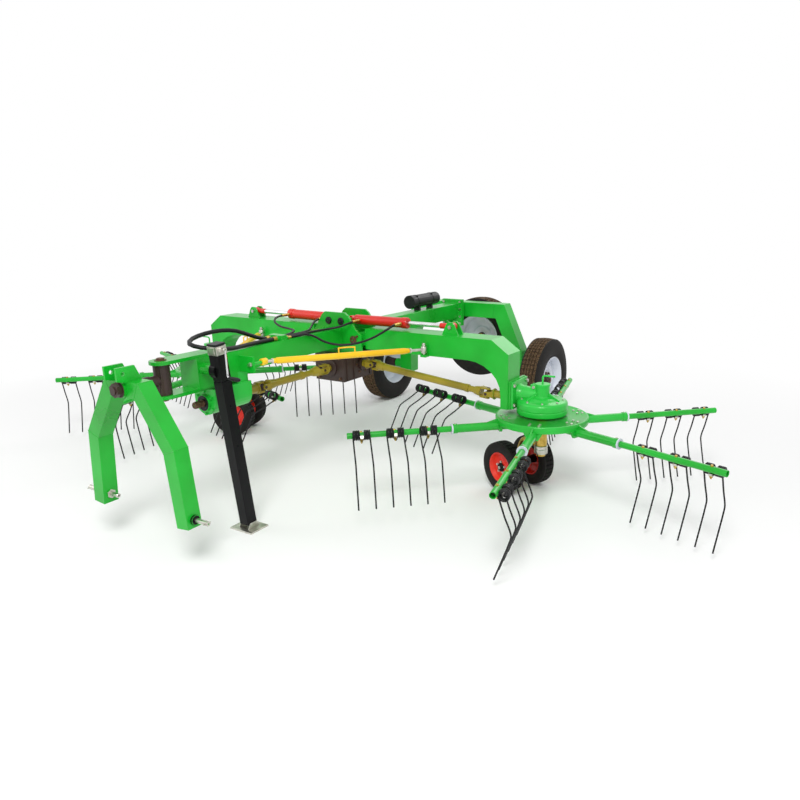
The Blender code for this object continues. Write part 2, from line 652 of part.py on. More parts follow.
def portal(parent, green):
    """Crossbeam over the swath, with its bolting flange, and the two bent wheel legs."""
    half = PORTAL_TUBE / 2
    flange = REAR_BEAM_END + FLANGE_PLATE + SEAT
    bm = bmesh.new()
    box(bm, (-PORTAL_END_X, PORTAL_Y - half, BEAM_TOP - PORTAL_TUBE), (PORTAL_END_X, PORTAL_Y + half, BEAM_TOP))
    box(bm, (-FLANGE_WIDTH / 2, flange, FLANGE_BOTTOM), (FLANGE_WIDTH / 2, flange + FLANGE_PLATE, FLANGE_TOP))
    box(bm, (-BEAM / 2, flange + BITE, BEAM_TOP - BEAM + BITE), (BEAM / 2, PORTAL_Y - half + BITE, BEAM_TOP - BITE))
    piece("portal_crossbeam", bm, green, parent)
    top = BEAM_TOP - PORTAL_TUBE / 2
    foot = portal_foot_x()
    for name, side in (("left", 1), ("right", -1)):
        bm = bmesh.new()
        start = PORTAL_END_X + SEAT
        sweep(bm, [(side * start, PORTAL_Y, top), (side * (start + half), PORTAL_Y, top),
                   (side * (foot - PORTAL_SPLAY), PORTAL_Y, PORTAL_LEG_Z),
                   (side * foot, PORTAL_Y, REAR_AXLE_Z - half)],
              square(PORTAL_TUBE), (0, 0, 1))
        axle_end = REAR_TRACK_HALF + REAR_HUB_RADIUS
        rod(bm, (side * foot, PORTAL_Y, REAR_AXLE_Z), (side * axle_end, PORTAL_Y, REAR_AXLE_Z),
            REAR_AXLE_RADIUS, TUBE_SIDES)
        rod(bm, (side * foot, PORTAL_Y, REAR_AXLE_Z),
            (side * (REAR_TRACK_HALF - REAR_TYRE_WIDTH / 2 - RUNNING), PORTAL_Y, REAR_AXLE_Z), AXLE_BOSS_RADIUS,
            TUBE_SIDES)
        piece("portal_leg_" + name, bm, green, parent)


def portal_foot_x():
    return REAR_TRACK_HALF - REAR_TYRE_WIDTH / 2 - WHEEL_CLEARANCE - PORTAL_TUBE / 2


def wheel_profile(tyre_radius, rim_radius, width, bore, side):
    """A closed profile of (along the axle, radius): the tyre, then the dished rim down to the hub's bore."""
    bore = (bore + SEAT) / cos(pi / WHEEL_SIDES)
    tyre = [(side * width * across, rim_radius + (tyre_radius - rim_radius) * out)
            for across, out in TYRE_PROFILE_SHARES]
    dish = [(side * width * across, bore + (rim_radius - bore) * out) for across, out in RIM_PROFILE_SHARES]
    return tyre + dish


def rear_wheels(parent, rubber):
    for name, side in (("left", 1), ("right", -1)):
        centre = (side * REAR_TRACK_HALF, PORTAL_Y, REAR_AXLE_Z)
        bm = bmesh.new()
        turned(bm, wheel_profile(REAR_TYRE_RADIUS, REAR_RIM_RADIUS, REAR_TYRE_WIDTH, REAR_AXLE_RADIUS, side),
               centre, (1, 0, 0), WHEEL_SIDES)
        piece("rear_wheel_" + name, bm, rubber, parent, origin=centre, welded=False)


def spare_wheel(parent, rubber, orange):
    """Spare wheel behind the portal, on a stub from a flat bar across to the left leg."""
    rear_face = PORTAL_Y + PORTAL_TUBE / 2 + SEAT
    centre = Vector((SPARE_X, rear_face + SPARE_STAND_OFF + REAR_TYRE_WIDTH / 2, SPARE_Z))
    bm = bmesh.new()
    turned(bm, wheel_profile(REAR_TYRE_RADIUS, REAR_RIM_RADIUS, REAR_TYRE_WIDTH, SPARE_HUB / 2, -1),
           centre, (0, 1, 0), WHEEL_SIDES)
    piece("spare_wheel", bm, rubber, parent, origin=centre, welded=False)
    bm = bmesh.new()
    box(bm, (SPARE_X - SPARE_HUB, rear_face, SPARE_Z - SPARE_BAR_HEIGHT / 2),
        (portal_foot_x() - PORTAL_SPLAY, rear_face + SPARE_BAR_THICKNESS, SPARE_Z + SPARE_BAR_HEIGHT / 2))
    rod(bm, (SPARE_X, rear_face + BITE, SPARE_Z), centre + Vector((0, SPARE_HUB_REACH, 0)), SPARE_HUB / 2, TUBE_SIDES)
    piece("spare_carrier", bm, orange, parent)


def headstock(parent, green, steel):
    """Yaw block with its roll shaft, and the three-point frame that rolls on it."""
    low, high = BEAM_TOP - NOSE_DEPTH + BITE + SEAT, BEAM_TOP - SEAT
    bm = bmesh.new()
    rod(bm, (0, YAW_Y, low), (0, YAW_Y, high), YAW_BARREL_RADIUS, DRUM_SIDES)
    rod(bm, (0, YAW_Y, low - FORK_PLATE - PIN_HEAD), (0, YAW_Y, high + FORK_PLATE + PIN_HEAD), FORK_PIN_RADIUS, TUBE_SIDES)
    sleeve_front = HEAD_Y - ROLL_SLEEVE_LENGTH / 2
    rod(bm, (0, sleeve_front - ROLL_NUT_LENGTH / 2, ROLL_Z), (0, YAW_Y, ROLL_Z), ROLL_SHAFT_RADIUS, TUBE_SIDES)
    rod(bm, (0, sleeve_front - SEAT, ROLL_Z), (0, sleeve_front - ROLL_NUT_LENGTH, ROLL_Z), ROLL_NUT_RADIUS, NUT_SIDES)
    yaw = piece("yaw_block", bm, steel, parent, origin=(0, YAW_Y, ROLL_Z))
    bm = bmesh.new()
    bends = [(HEAD_FOOT_X, HEAD_FOOT_Z), (HEAD_BEND_X, HEAD_BEND_Z), (HEAD_SHOULDER_X, ROLL_Z)]
    path = [(x, HEAD_Y, z) for x, z in bends] + [(-x, HEAD_Y, z) for x, z in reversed(bends)]
    sweep(bm, path, square(HEAD_TUBE), (0, 1, 0))
    sleeve = ROLL_SHAFT_RADIUS + ROLL_SLEEVE_WALL
    rod(bm, (0, sleeve_front, ROLL_Z), (0, sleeve_front + ROLL_SLEEVE_LENGTH, ROLL_Z), sleeve, DRUM_SIDES)
    for side in (1, -1):
        inner = HEAD_FOOT_X - HEAD_TUBE / 2 - LOWER_PIN_COLLAR
        outer = HEAD_FOOT_X + HEAD_TUBE / 2
        rod(bm, (side * (inner - LOWER_PIN_COLLAR), HEAD_Y, LOWER_PIN_Z), (side * (outer + LOWER_PIN_REACH), HEAD_Y, LOWER_PIN_Z),
            LOWER_PIN_RADIUS)
        rod(bm, (side * inner, HEAD_Y, LOWER_PIN_Z), (side * (outer + LOWER_PIN_COLLAR), HEAD_Y, LOWER_PIN_Z),
            LOWER_PIN_COLLAR_RADIUS, TUBE_SIDES)
        ear = side * (EAR_SPREAD - EAR_PLATE) / 2
        front, rear = EAR_HOLE_Y - EAR_ROUND, HEAD_Y + HEAD_TUBE / 2
        base = ROLL_Z + HEAD_TUBE / 2 - BITE
        prism(bm, [(ear, HEAD_Y - HEAD_TUBE / 2, base), (ear, rear, base), (ear, rear - EAR_ROUND, EAR_TOP),
                   (ear, front, EAR_TOP), (ear, front, EAR_HOLE_Z - EAR_ROUND)], (side * EAR_PLATE, 0, 0))
    cut = bmesh.new()
    bore(cut, (0, sleeve_front - OVERRUN, ROLL_Z), (0, sleeve_front + ROLL_SLEEVE_LENGTH + OVERRUN, ROLL_Z),
         ROLL_SHAFT_RADIUS)
    rod(cut, (-EAR_SPREAD, EAR_HOLE_Y, EAR_HOLE_Z), (EAR_SPREAD, EAR_HOLE_Y, EAR_HOLE_Z), EAR_HOLE_RADIUS)
    piece("headstock", bm, green, yaw, cut=cut, origin=(0, HEAD_Y, ROLL_Z))


def jack_flange_x():
    return JACK_X - JACK_TUBE / 2 - JACK_FLANGE_PLATE


def jack_flange_height():
    """How far up the leaning tube the flange meets its boss on the beam."""
    return (BEAM_TOP - JACK_FLANGE_DROP) / cos(JACK_LEAN)


def jack_flange_y():
    return jack_point(0, 0, jack_flange_height()).y


def jack_flange_z():
    return jack_point(0, 0, jack_flange_height()).z


def jack(parent, black, zinc):
    """Fixed tube with its gear head and flange, the sleeve with the foot, and the hand crank."""
    half = JACK_TUBE / 2
    flange = jack_flange_height()
    head = flange + JACK_HEAD_RISE
    top = head + JACK_HEAD
    sleeve_top = flange - JACK_FLANGE_RADIUS - OVERRUN
    bm = bmesh.new()
    jack_box(bm, (-half, -half, JACK_TUBE_BOTTOM), (half, half, top - BITE))
    jack_box(bm, (-half - BITE, -half - BITE, head), (half + BITE, half + BITE, top))
    centre = jack_point(0, 0, flange)
    rod(bm, (jack_flange_x(), centre.y, centre.z), (JACK_X, centre.y, centre.z), JACK_FLANGE_RADIUS, DRUM_SIDES)
    piece("jack_tube", bm, black, parent)
    bm = bmesh.new()
    outer = JACK_SLEEVE / 2
    inner = half + SEAT
    jack_box(bm, (-outer, -outer, JACK_SLEEVE_BOTTOM), (outer, outer, sleeve_top))
    foot = jack_point(0, 0, 0)
    box(bm, (foot.x - JACK_FOOT_LENGTH / 2, foot.y - JACK_FOOT_WIDTH / 2, 0),
        (foot.x + JACK_FOOT_LENGTH / 2, foot.y + JACK_FOOT_WIDTH / 2, JACK_FOOT_PLATE))
    box(bm, (foot.x - outer, foot.y - outer, JACK_FOOT_PLATE - BITE), (foot.x + outer, foot.y + outer, JACK_SLEEVE_BOTTOM + BITE + BITE))
    cut = bmesh.new()
    jack_box(cut, (-inner, -inner, JACK_SLEEVE_BOTTOM + JACK_SLEEVE), (inner, inner, sleeve_top + OVERRUN))
    piece("jack_leg", bm, black, parent, cut=cut, smooth=False)
    bm = bmesh.new()
    hub = jack_point(half + BITE + SEAT, 0, (head + top) / 2)
    elbow = hub + Vector((CRANK_HUB_REACH, 0, 0))
    low = elbow - Vector((0, 0, CRANK_THROW))
    rod(bm, hub, elbow, CRANK_HUB_RADIUS)
    rod(bm, elbow - Vector((CRANK_HUB_RADIUS, 0, 0)), low - Vector((CRANK_HUB_RADIUS, 0, 0)), CRANK_ROD_RADIUS)
    rod(bm, low - Vector((CRANK_HUB_RADIUS + CRANK_ROD_RADIUS, 0, 0)), low + Vector((CRANK_GRIP_LENGTH, 0, 0)), CRANK_GRIP_RADIUS)
    piece("jack_crank", bm, zinc, parent, origin=hub)


def driveline(parent, green, brown, olive):
    """Front gearbox under the nose, the shaft along the beam and the centre gearbox under the housing."""
    half = FRONT_BOX_WIDTH / 2
    low = BEAM_TOP - NOSE_DEPTH - FORK_PLATE - SEAT
    belly = FRONT_BOX_BOTTOM + half
    outline = [(-half, low)]
    for i in range(TUBE_SIDES + 1):
        turn = pi + pi * i / TUBE_SIDES
        outline.append((half * cos(turn), belly + half * sin(turn)))
    outline.append((half, low))
    bm = bmesh.new()
    prism(bm, [(x, FRONT_BOX_FRONT, z) for x, z in outline], (0, FRONT_BOX_REAR - FRONT_BOX_FRONT, 0))
    box(bm, (-BEAM / 2, BEAM_FRONT + NOSE_LENGTH + RUNNING, low - BITE),
        (BEAM / 2, FRONT_BOX_REAR - BITE, BEAM_TOP - BEAM - SEAT))
    rod(bm, (0, FRONT_BOX_FRONT + BITE, DRIVE_Z), (0, FRONT_BOX_FRONT - STUB_REACH, DRIVE_Z), STUB_RADIUS,
        TUBE_SIDES)
    rod(bm, (0, FRONT_BOX_FRONT + BITE + BITE, DRIVE_Z), (0, FRONT_BOX_FRONT - BEARING_COVER, DRIVE_Z),
        BEARING_COVER_RADIUS, TUBE_SIDES)
    piece("front_gearbox", bm, green, parent)
    bm = bmesh.new()
    cut = []
    box(bm, (-CENTRE_BOX_WIDTH / 2, CENTRE_BOX_FRONT, CENTRE_BOX_BOTTOM),
        (CENTRE_BOX_WIDTH / 2, CENTRE_BOX_REAR, HOUSING_BOTTOM - SEAT))
    for side in (1, -1):
        joint = Vector((side * SIDE_JOINT_X, 0, SIDE_JOINT_Z))
        inward = Vector((-side, 0, 0))
        yoke(bm, joint, inward, (0, 1, 0))
        rod(bm, joint + inward * (YOKE_REACH + BITE), (side * BASE_PIN_X, 0, SIDE_JOINT_Z), SHANK_RADIUS, TUBE_SIDES)
        rod(bm, (side * (CENTRE_BOX_WIDTH / 2 - BITE), 0, SIDE_JOINT_Z),
            (side * (CENTRE_BOX_WIDTH / 2 + BEARING_COVER), 0, SIDE_JOINT_Z), BEARING_COVER_RADIUS, TUBE_SIDES)
        reach = Vector((0, YOKE_GAP / 2 + YOKE_LUG + OVERRUN, 0))
        cut.append(bmesh.new())
        bore(cut[-1], joint - reach, joint + reach, CROSS_RADIUS, PIN_SIDES)
    piece("centre_gearbox", bm, brown, parent, cut=cut)
    front_shaft(parent, olive)


def front_shaft(parent, olive):
    """Shaft between the two gearboxes, with a universal joint near each."""
    bm = bmesh.new()
    start, end = FRONT_BOX_REAR + SEAT, CENTRE_BOX_FRONT - SEAT
    hub = YOKE_REACH + YOKE_HUB
    front, rear = start + FRONT_SHANK + hub, end - REAR_SHANK - hub
    for face, cross, way in ((start, front, 1), (end, rear, -1)):
        middle = Vector((0, cross, DRIVE_Z))
        yoke(bm, middle, (0, -way, 0), (0, 0, 1))
        yoke(bm, middle, (0, way, 0), (1, 0, 0))
        cross_pin(bm, middle, (0, 0, 1), YOKE_GAP / 2 + BITE)
        cross_pin(bm, middle, (1, 0, 0), YOKE_GAP / 2 + BITE)
        rod(bm, (0, face, DRIVE_Z), (0, cross - way * (YOKE_REACH + BITE), DRIVE_Z), SHANK_RADIUS, TUBE_SIDES)
        rod(bm, (0, cross + way * (hub - BITE), DRIVE_Z), (0, cross + way * (hub + SHAFT_NECK), DRIVE_Z),
            SHAFT_NECK_RADIUS, TUBE_SIDES, SHAFT_TUBE_RADIUS + BITE)
    step = rear - hub - SHAFT_NECK - SHAFT_BARE
    rod(bm, (0, front + hub, DRIVE_Z), (0, step, DRIVE_Z), SHAFT_TUBE_RADIUS, TUBE_SIDES)
    rod(bm, (0, step - BITE, DRIVE_Z), (0, rear - hub, DRIVE_Z), SHAFT_TUBE_RADIUS - SHAFT_TUBE_WALL, TUBE_SIDES)
    piece("front_shaft", bm, olive, parent, origin=(0, 0, DRIVE_Z))


def lift_arm(name, side, parent, green):
    """A rotor's arm from the housing pin out and down to the rotor, with the cylinder's ears and the brace."""
    half = ARM_WIDTH / 2
    bm = bmesh.new()
    outline = [(ARM_START, ARM_TOP), (ARM_SHOULDER_X, ARM_TOP), (ARM_END_X, ARM_CORNER_Z), (ARM_END_X, ARM_FOOT_Z),
               (ARM_FOOT_X, ARM_FOOT_Z), (ARM_FOOT_X, ARM_FOOT_Z + half)]
    outline += knee_arc()
    outline += [(ARM_START, ARM_BOTTOM)]
    prism(bm, [(side * x, -half, z) for x, z in outline], (0, ARM_WIDTH, 0))
    tongue = ARM_TONGUE_WIDTH / 2
    thick = HINGE_EYE_RADIUS - BITE
    box(bm, (side * HINGE_X, -tongue, HINGE_Z - thick), (side * (ARM_START + BITE), tongue, HINGE_Z + thick))
    eye = HOUSING_GAP / 2 - RUNNING
    rod(bm, (side * HINGE_X, -eye, HINGE_Z), (side * HINGE_X, eye, HINGE_Z), HINGE_EYE_RADIUS, DRUM_SIDES)
    box(bm, (side * (ARM_END_X - BITE), ROTOR_Y - ARM_FLANGE_WIDTH / 2, ARM_FOOT_Z),
        (side * (ARM_END_X + ARM_FLANGE), ROTOR_Y + ARM_FLANGE_WIDTH / 2, ARM_FLANGE_TOP))
    for edge in (1, -1):
        inner = edge * EYE_EAR_GAP / 2
        ear_low, ear_high = ARM_TOP - BITE, ROD_EYE_Z + EYE_EAR_RADIUS
        prism(bm, [(side * (ROD_EYE_X + EYE_EAR_RADIUS * across), inner, ear_low + (ear_high - ear_low) * up)
                   for across, up in EAR_OUTLINE_SHARES], (0, edge * EYE_EAR_PLATE, 0))
        outer = edge * (EYE_EAR_GAP / 2 + EYE_EAR_PLATE)
        rod(bm, (side * ROD_EYE_X, outer - edge * BITE, ROD_EYE_Z), (side * ROD_EYE_X, outer + edge * PIN_HEAD, ROD_EYE_Z),
            EYE_PIN_RADIUS)
    box(bm, (side * (BRACE_END_X - BRACE_LUG / 2), -half - BRACE_LUG, ARM_BOTTOM - BITE),
        (side * (BRACE_END_X + BRACE_LUG / 2), -half + BITE, ARM_BOTTOM + BRACE_LUG_PLATE))
    rod(bm, (side * BRACE_END_X, BRACE_END_Y, ARM_BOTTOM),
        (side * BRACE_END_X, BRACE_END_Y, BRACE_END_Z + BRACE_EYE_RADIUS + BRACE_EYE_RADIUS), BRACE_PIN_RADIUS)
    joint = Vector((side * OUTER_JOINT_X, 0, OUTER_JOINT_Z))
    yoke(bm, joint, (side, 0, 0), (0, 1, 0))
    rod(bm, joint + Vector((side * (YOKE_REACH + BITE), 0, 0)), (side * (ARM_FOOT_X + BITE), 0, OUTER_JOINT_Z),
        SHANK_RADIUS, TUBE_SIDES)
    cut = bmesh.new()
    bore(cut, (side * HINGE_X, -eye - OVERRUN, HINGE_Z), (side * HINGE_X, eye + OVERRUN, HINGE_Z), HINGE_PIN_RADIUS)
    return piece("lift_arm_" + name, bm, green, parent, origin=(side * HINGE_X, 0, HINGE_Z), cut=cut)


def knee_arc(steps=6):
    """The rounded inner corner between the arm's underside and its upright foot."""
    rise = ARM_BOTTOM - ARM_FOOT_Z - ARM_WIDTH / 2
    run = ARM_FOOT_X - ARM_KNEE_X
    return [(ARM_KNEE_X + run * cos(pi / 2 * i / steps), ARM_FOOT_Z + ARM_WIDTH / 2 + rise * sin(pi / 2 * i / steps))
            for i in range(1, steps + 1)]


def brace(name, side, parent, yellow):
    """Yellow tie rod from the front bracket, whose pin lies on the arm's own hinge line, to the arm."""
    front = Vector((side * HINGE_X, BRACE_FRONT_Y, HINGE_Z))
    end = Vector((side * BRACE_END_X, BRACE_END_Y, BRACE_END_Z + BRACE_EYE_RADIUS))
    run = (end - front).normalized()
    eye = BRACE_EYE_RADIUS
    bm = bmesh.new()
    cut = bmesh.new()
    for middle, axis, way, thread in ((front, (0, 1, 0), run, BRACE_FRONT_THREAD),
                                      (end, (0, 0, 1), -run, BRACE_REAR_THREAD)):
        axis = Vector(axis)
        rod(bm, middle - axis * eye, middle + axis * eye, eye, TUBE_SIDES)
        rod(bm, middle + way * (eye - BITE), middle + way * (thread + BITE), BRACE_THREAD_RADIUS)
        rod(bm, middle + way * thread, middle + way * (thread + BRACE_TAPER), BRACE_THREAD_RADIUS + BITE,
            end_radius=BRACE_RADIUS)
        bore(cut, middle - axis * (eye + OVERRUN), middle + axis * (eye + OVERRUN), BRACE_PIN_RADIUS, PIN_SIDES)
    rod(bm, front + run * (BRACE_FRONT_THREAD + BRACE_TAPER), end - run * (BRACE_REAR_THREAD + BRACE_TAPER),
        BRACE_RADIUS)
    piece("brace_" + name, bm, yellow, parent, cut=cut)


def cylinder(name, side, parent, red, chrome):
    """Lift cylinder: a barrel on the housing's pin and a rod whose eye lies between the arm's ears."""
    base = Vector((side * BASE_PIN_X, 0, BASE_PIN_Z))
    eye = Vector((side * ROD_EYE_X, 0, ROD_EYE_Z))
    run = (eye - base).normalized()
    tip = base + run * (BARREL_START + BARREL_LENGTH)
    across = Vector((0, EYE_WIDTH / 2, 0))
    past = across + Vector((0, OVERRUN, 0))
    shank = EYE_RADIUS - BITE - BITE
    bm = bmesh.new()
    rod(bm, base - across, base + across, EYE_RADIUS, TUBE_SIDES)
    rod(bm, base + run * shank, base + run * (BARREL_START + BITE), EYE_RADIUS / 2, PIN_SIDES)
    rod(bm, base + run * BARREL_START, tip - run * BITE, BARREL_RADIUS, DRUM_SIDES)
    rod(bm, tip - run * GLAND_LENGTH, tip, GLAND_RADIUS, DRUM_SIDES)
    for along in (BARREL_START + PORT_INSET, BARREL_START + BARREL_LENGTH - PORT_INSET / 2):
        port = base + run * along
        rod(bm, port, port - Vector((0, BARREL_RADIUS + PORT_REACH, 0)), HOSE / 2 + SPIGOT_LIP)
    cut = bmesh.new()
    bore(cut, base - past, base + past, BASE_PIN_RADIUS)
    bore(cut, tip + run * OVERRUN, tip - run * (ROD_ENGAGED + ROD_TRAVEL + OVERRUN), ROD_RADIUS)
    piece("cylinder_barrel_" + name, bm, red, parent, origin=base, cut=cut)
    bm = bmesh.new()
    rod(bm, tip - run * ROD_ENGAGED, eye - run * (ROD_END_LENGTH - BITE), ROD_RADIUS, TUBE_SIDES)
    rod(bm, eye - run * ROD_END_LENGTH, eye - run * shank, ROD_END_RADIUS, TUBE_SIDES)
    rod(bm, eye - across, eye + across, EYE_RADIUS, TUBE_SIDES)
    cut = bmesh.new()
    rod(cut, eye - past, eye + past, EYE_PIN_RADIUS, TUBE_SIDES)
    piece("cylinder_rod_" + name, bm, chrome, parent, origin=eye, cut=cut)


def side_shaft(name, side, parent, olive):
    """Telescopic shaft to a rotor: two tubes that slide, each with a yoke and the cross of its joint."""
    inner = Vector((side * SIDE_JOINT_X, 0, SIDE_JOINT_Z))
    outer = Vector((side * OUTER_JOINT_X, 0, OUTER_JOINT_Z))
    run = (outer - inner).normalized()
    pin = run.cross(Vector((0, 1, 0)))
    hub = YOKE_REACH + YOKE_HUB
    tube_end = (outer - inner).length - hub - SHAFT_BARE
    bore_start = hub + SHAFT_NECK - BITE
    slider = SHAFT_TUBE_RADIUS - SHAFT_TUBE_WALL
    bm = bmesh.new()
    yoke(bm, inner, run, pin)
    cross_pin(bm, inner, pin, YOKE_GAP / 2 + BITE)
    cross_pin(bm, inner, (0, 1, 0), YOKE_GAP / 2 + YOKE_LUG - SEAT)
    rod(bm, inner + run * (hub - BITE), inner + run * (hub + SHAFT_NECK), SHAFT_NECK_RADIUS, TUBE_SIDES,
        SHAFT_TUBE_RADIUS + BITE)
    rod(bm, inner + run * hub, inner + run * tube_end, SHAFT_TUBE_RADIUS, TUBE_SIDES)
    cut = bmesh.new()
    bore(cut, inner + run * bore_start, inner + run * (tube_end + OVERRUN), slider)
    piece("side_shaft_outer_tube_" + name, bm, olive, parent, origin=inner, cut=cut)
    bm = bmesh.new()
    rod(bm, inner + run * (bore_start + SHAFT_SHORTENS), outer - run * hub, slider, TUBE_SIDES)
    rod(bm, outer - run * (hub + SHAFT_NECK), outer - run * (hub - BITE), slider + BITE, TUBE_SIDES, SHAFT_NECK_RADIUS)
    yoke(bm, outer, -run, pin)
    cross_pin(bm, outer, pin, YOKE_GAP / 2 + BITE)
    cross_pin(bm, outer, (0, 1, 0), YOKE_GAP / 2 - SEAT)
    piece("side_shaft_inner_tube_" + name, bm, olive, parent, origin=outer)


def rotor_gearbox(name, side, parent, green):
    """Cam drum with its neck to the arm, the tower on top and the fixed column that stands on the castor."""
    centre = Vector((side * ROTOR_X, ROTOR_Y, 0))
    up = Vector((0, 0, 1))
    step_top = DRUM_TOP + DRUM_STEP
    inside = COLUMN_RADIUS - BITE
    profile = [(DRUM_BOTTOM, inside), (DRUM_BOTTOM, DRUM_RADIUS), (DRUM_TOP - DRUM_SHOULDER, DRUM_RADIUS),
               (DRUM_TOP, DRUM_RADIUS - DRUM_SHOULDER), (DRUM_TOP, DRUM_STEP_RADIUS), (step_top, DRUM_STEP_RADIUS),
               (step_top, inside)]
    bm = bmesh.new()
    turned(bm, profile, centre, up, DRUM_SIDES)
    rod(bm, centre + up * COLUMN_BOTTOM, centre + up * (step_top + BITE), COLUMN_RADIUS, TUBE_SIDES)
    rod(bm, centre + up * (step_top - BITE), centre + up * (TOWER_TOP - BITE), TOWER_RADIUS)
    rod(bm, centre + up * (TOWER_TOP - TOWER_CAP), centre + up * TOWER_TOP, TOWER_CAP_RADIUS)
    rim = DRUM_RADIUS - DRUM_SHOULDER - DRUM_SHOULDER
    prism(bm, [(side * x, ROTOR_Y - TOWER_RIB / 2, z) for x, z in (
        (ROTOR_X, DRUM_TOP - BITE), (ROTOR_X + rim, DRUM_TOP - BITE), (ROTOR_X, TOWER_TOP - TOWER_CAP - BITE))],
          (0, TOWER_RIB, 0))
    neck_z = NECK_TOP - NECK_RADIUS
    face = ARM_END_X + ARM_FLANGE + SEAT
    flange = ARM_FLANGE_WIDTH / 2 - BITE
    box(bm, (side * face, ROTOR_Y - flange, ARM_FOOT_Z + BITE),
        (side * (face + ARM_FLANGE), ROTOR_Y + flange, ARM_FLANGE_TOP - BITE))
    rod(bm, (side * (face + BITE), ROTOR_Y, neck_z), (side * ROTOR_X, ROTOR_Y, neck_z), NECK_RADIUS, TUBE_SIDES,
        TOWER_RADIUS - BITE - BITE)
    top = TOWER_TOP + HEIGHT_CRANK_RISE
    rod(bm, centre + up * (TOWER_TOP - BITE), centre + up * top, HEIGHT_CRANK_RADIUS)
    rod(bm, centre + up * (top - BITE), centre + up * (top - BITE) + Vector((side * HEIGHT_CRANK_THROW, 0, 0)),
        HEIGHT_CRANK_RADIUS)
    return piece("rotor_gearbox_" + name, bm, green, parent)


def rotor_disc(name, side, parent, green):
    """Turning disc with its skirt and the six sockets that hold the tine arms."""
    centre = Vector((side * ROTOR_X, ROTOR_Y, 0))
    bore = (COLUMN_RADIUS + SEAT) / cos(pi / DRUM_SIDES)
    low = DISC_TOP - DISC_SKIRT
    hub_low = TINE_ARM_Z - SOCKET_RADIUS - BITE
    profile = [(DISC_TOP, bore), (DISC_TOP, DISC_RADIUS - DISC_PLATE), (DISC_TOP - DISC_PLATE, DISC_RADIUS), (low, DISC_RADIUS),
               (low, DISC_RADIUS - DISC_PLATE), (DISC_TOP - DISC_PLATE, DISC_RADIUS - DISC_PLATE * 2),
               (DISC_TOP - DISC_PLATE, HUB_RADIUS), (hub_low, HUB_RADIUS), (hub_low, bore)]
    bm = bmesh.new()
    turned(bm, profile, centre, (0, 0, 1), DRUM_SIDES)
    rim = DISC_RADIUS - HANGER_PLATE - BITE - BITE
    hanger_low = TINE_ARM_Z - SOCKET_RADIUS - BITE
    for i in range(ARMS):
        angle = ROTOR_PHASE + tau * i / ARMS
        out = Vector((cos(angle), sin(angle), 0))
        along = Vector((-sin(angle), cos(angle), 0))
        at = centre + Vector((0, 0, TINE_ARM_Z))
        rod(bm, at + out * SOCKET_START, at + out * SOCKET_END, SOCKET_RADIUS, NUT_SIDES)
        rod(bm, at + out * (SOCKET_END - COLLAR_LENGTH), at + out * (SOCKET_END + COLLAR_LENGTH / 2), COLLAR_RADIUS,
            NUT_SIDES)
        prism(bm, [centre + out * rim + along * HANGER_WIDTH * share + Vector((0, 0, z)) for share, z in (
            (-HANGER_FOOT_SHARE, hanger_low), (HANGER_FOOT_SHARE, hanger_low), (1 / 2, low + BITE), (-1 / 2, low + BITE))],
              out * HANGER_PLATE)
    return piece("rotor_disc_" + name, bm, green, parent, origin=(side * ROTOR_X, ROTOR_Y, DISC_TOP))


def tine_arm_mesh(lag, green):
    """One arm along +X from the rotor's centre line, with three double tines that trail on the side of lag."""
    bm = bmesh.new()
    start = SOCKET_END + COLLAR_LENGTH / 2 + SEAT
    rod(bm, (start, 0, 0), (TINE_ARM_TIP, 0, 0), TINE_ARM_RADIUS)
    leg = TINE_LEG_SPACING / 2
    coil_end = leg + TINE_RADIUS + SEAT
    coil_y, coil_z = lag * COIL_OFFSET, -COIL_DROP
    for i in range(DOUBLE_TINES):
        middle = TINE_FIRST + leg + i * TINE_PITCH
        box(bm, (middle - CLAMP_LENGTH / 2, 0, -CLAMP_DEPTH), (middle + CLAMP_LENGTH / 2, coil_y, CLAMP_RISE))
        for way in (1, -1):
            rod(bm, (middle + way * (coil_end - COIL_LENGTH), coil_y, coil_z), (middle + way * coil_end, coil_y, coil_z),
                COIL_RADIUS, NUT_SIDES)
            sweep(bm, [(middle + way * leg, lag * TINE_BEND_OFFSET * behind, -TINE_REACH * down)
                       for behind, down in TINE_ROUTE_SHARES], circle(TINE_RADIUS, WIRE_SIDES), (1, 0, 0))
    pattern = piece("tine_arm", bm, green, None)
    mesh = pattern.data
    bpy.data.objects.remove(pattern, do_unlink=True)
    return mesh


def rotor(name, side, parent, green):
    """Disc with its tine arms. The left rotor turns clockwise, and the cam has rolled the arms over the swath."""
    disc = rotor_disc(name, side, parent, green)
    mesh = tine_arm_mesh(side, green)
    for i in range(ARMS):
        turn = ROTOR_PHASE + tau * i / ARMS
        arm = copy_of(mesh, f"tine_arm_{name}_{i + 1}", disc, (0, 0, TINE_ARM_Z - DISC_TOP))
        arm.rotation_euler = (side * CAM_LIFT * max(0, -side * cos(turn)), 0, turn)


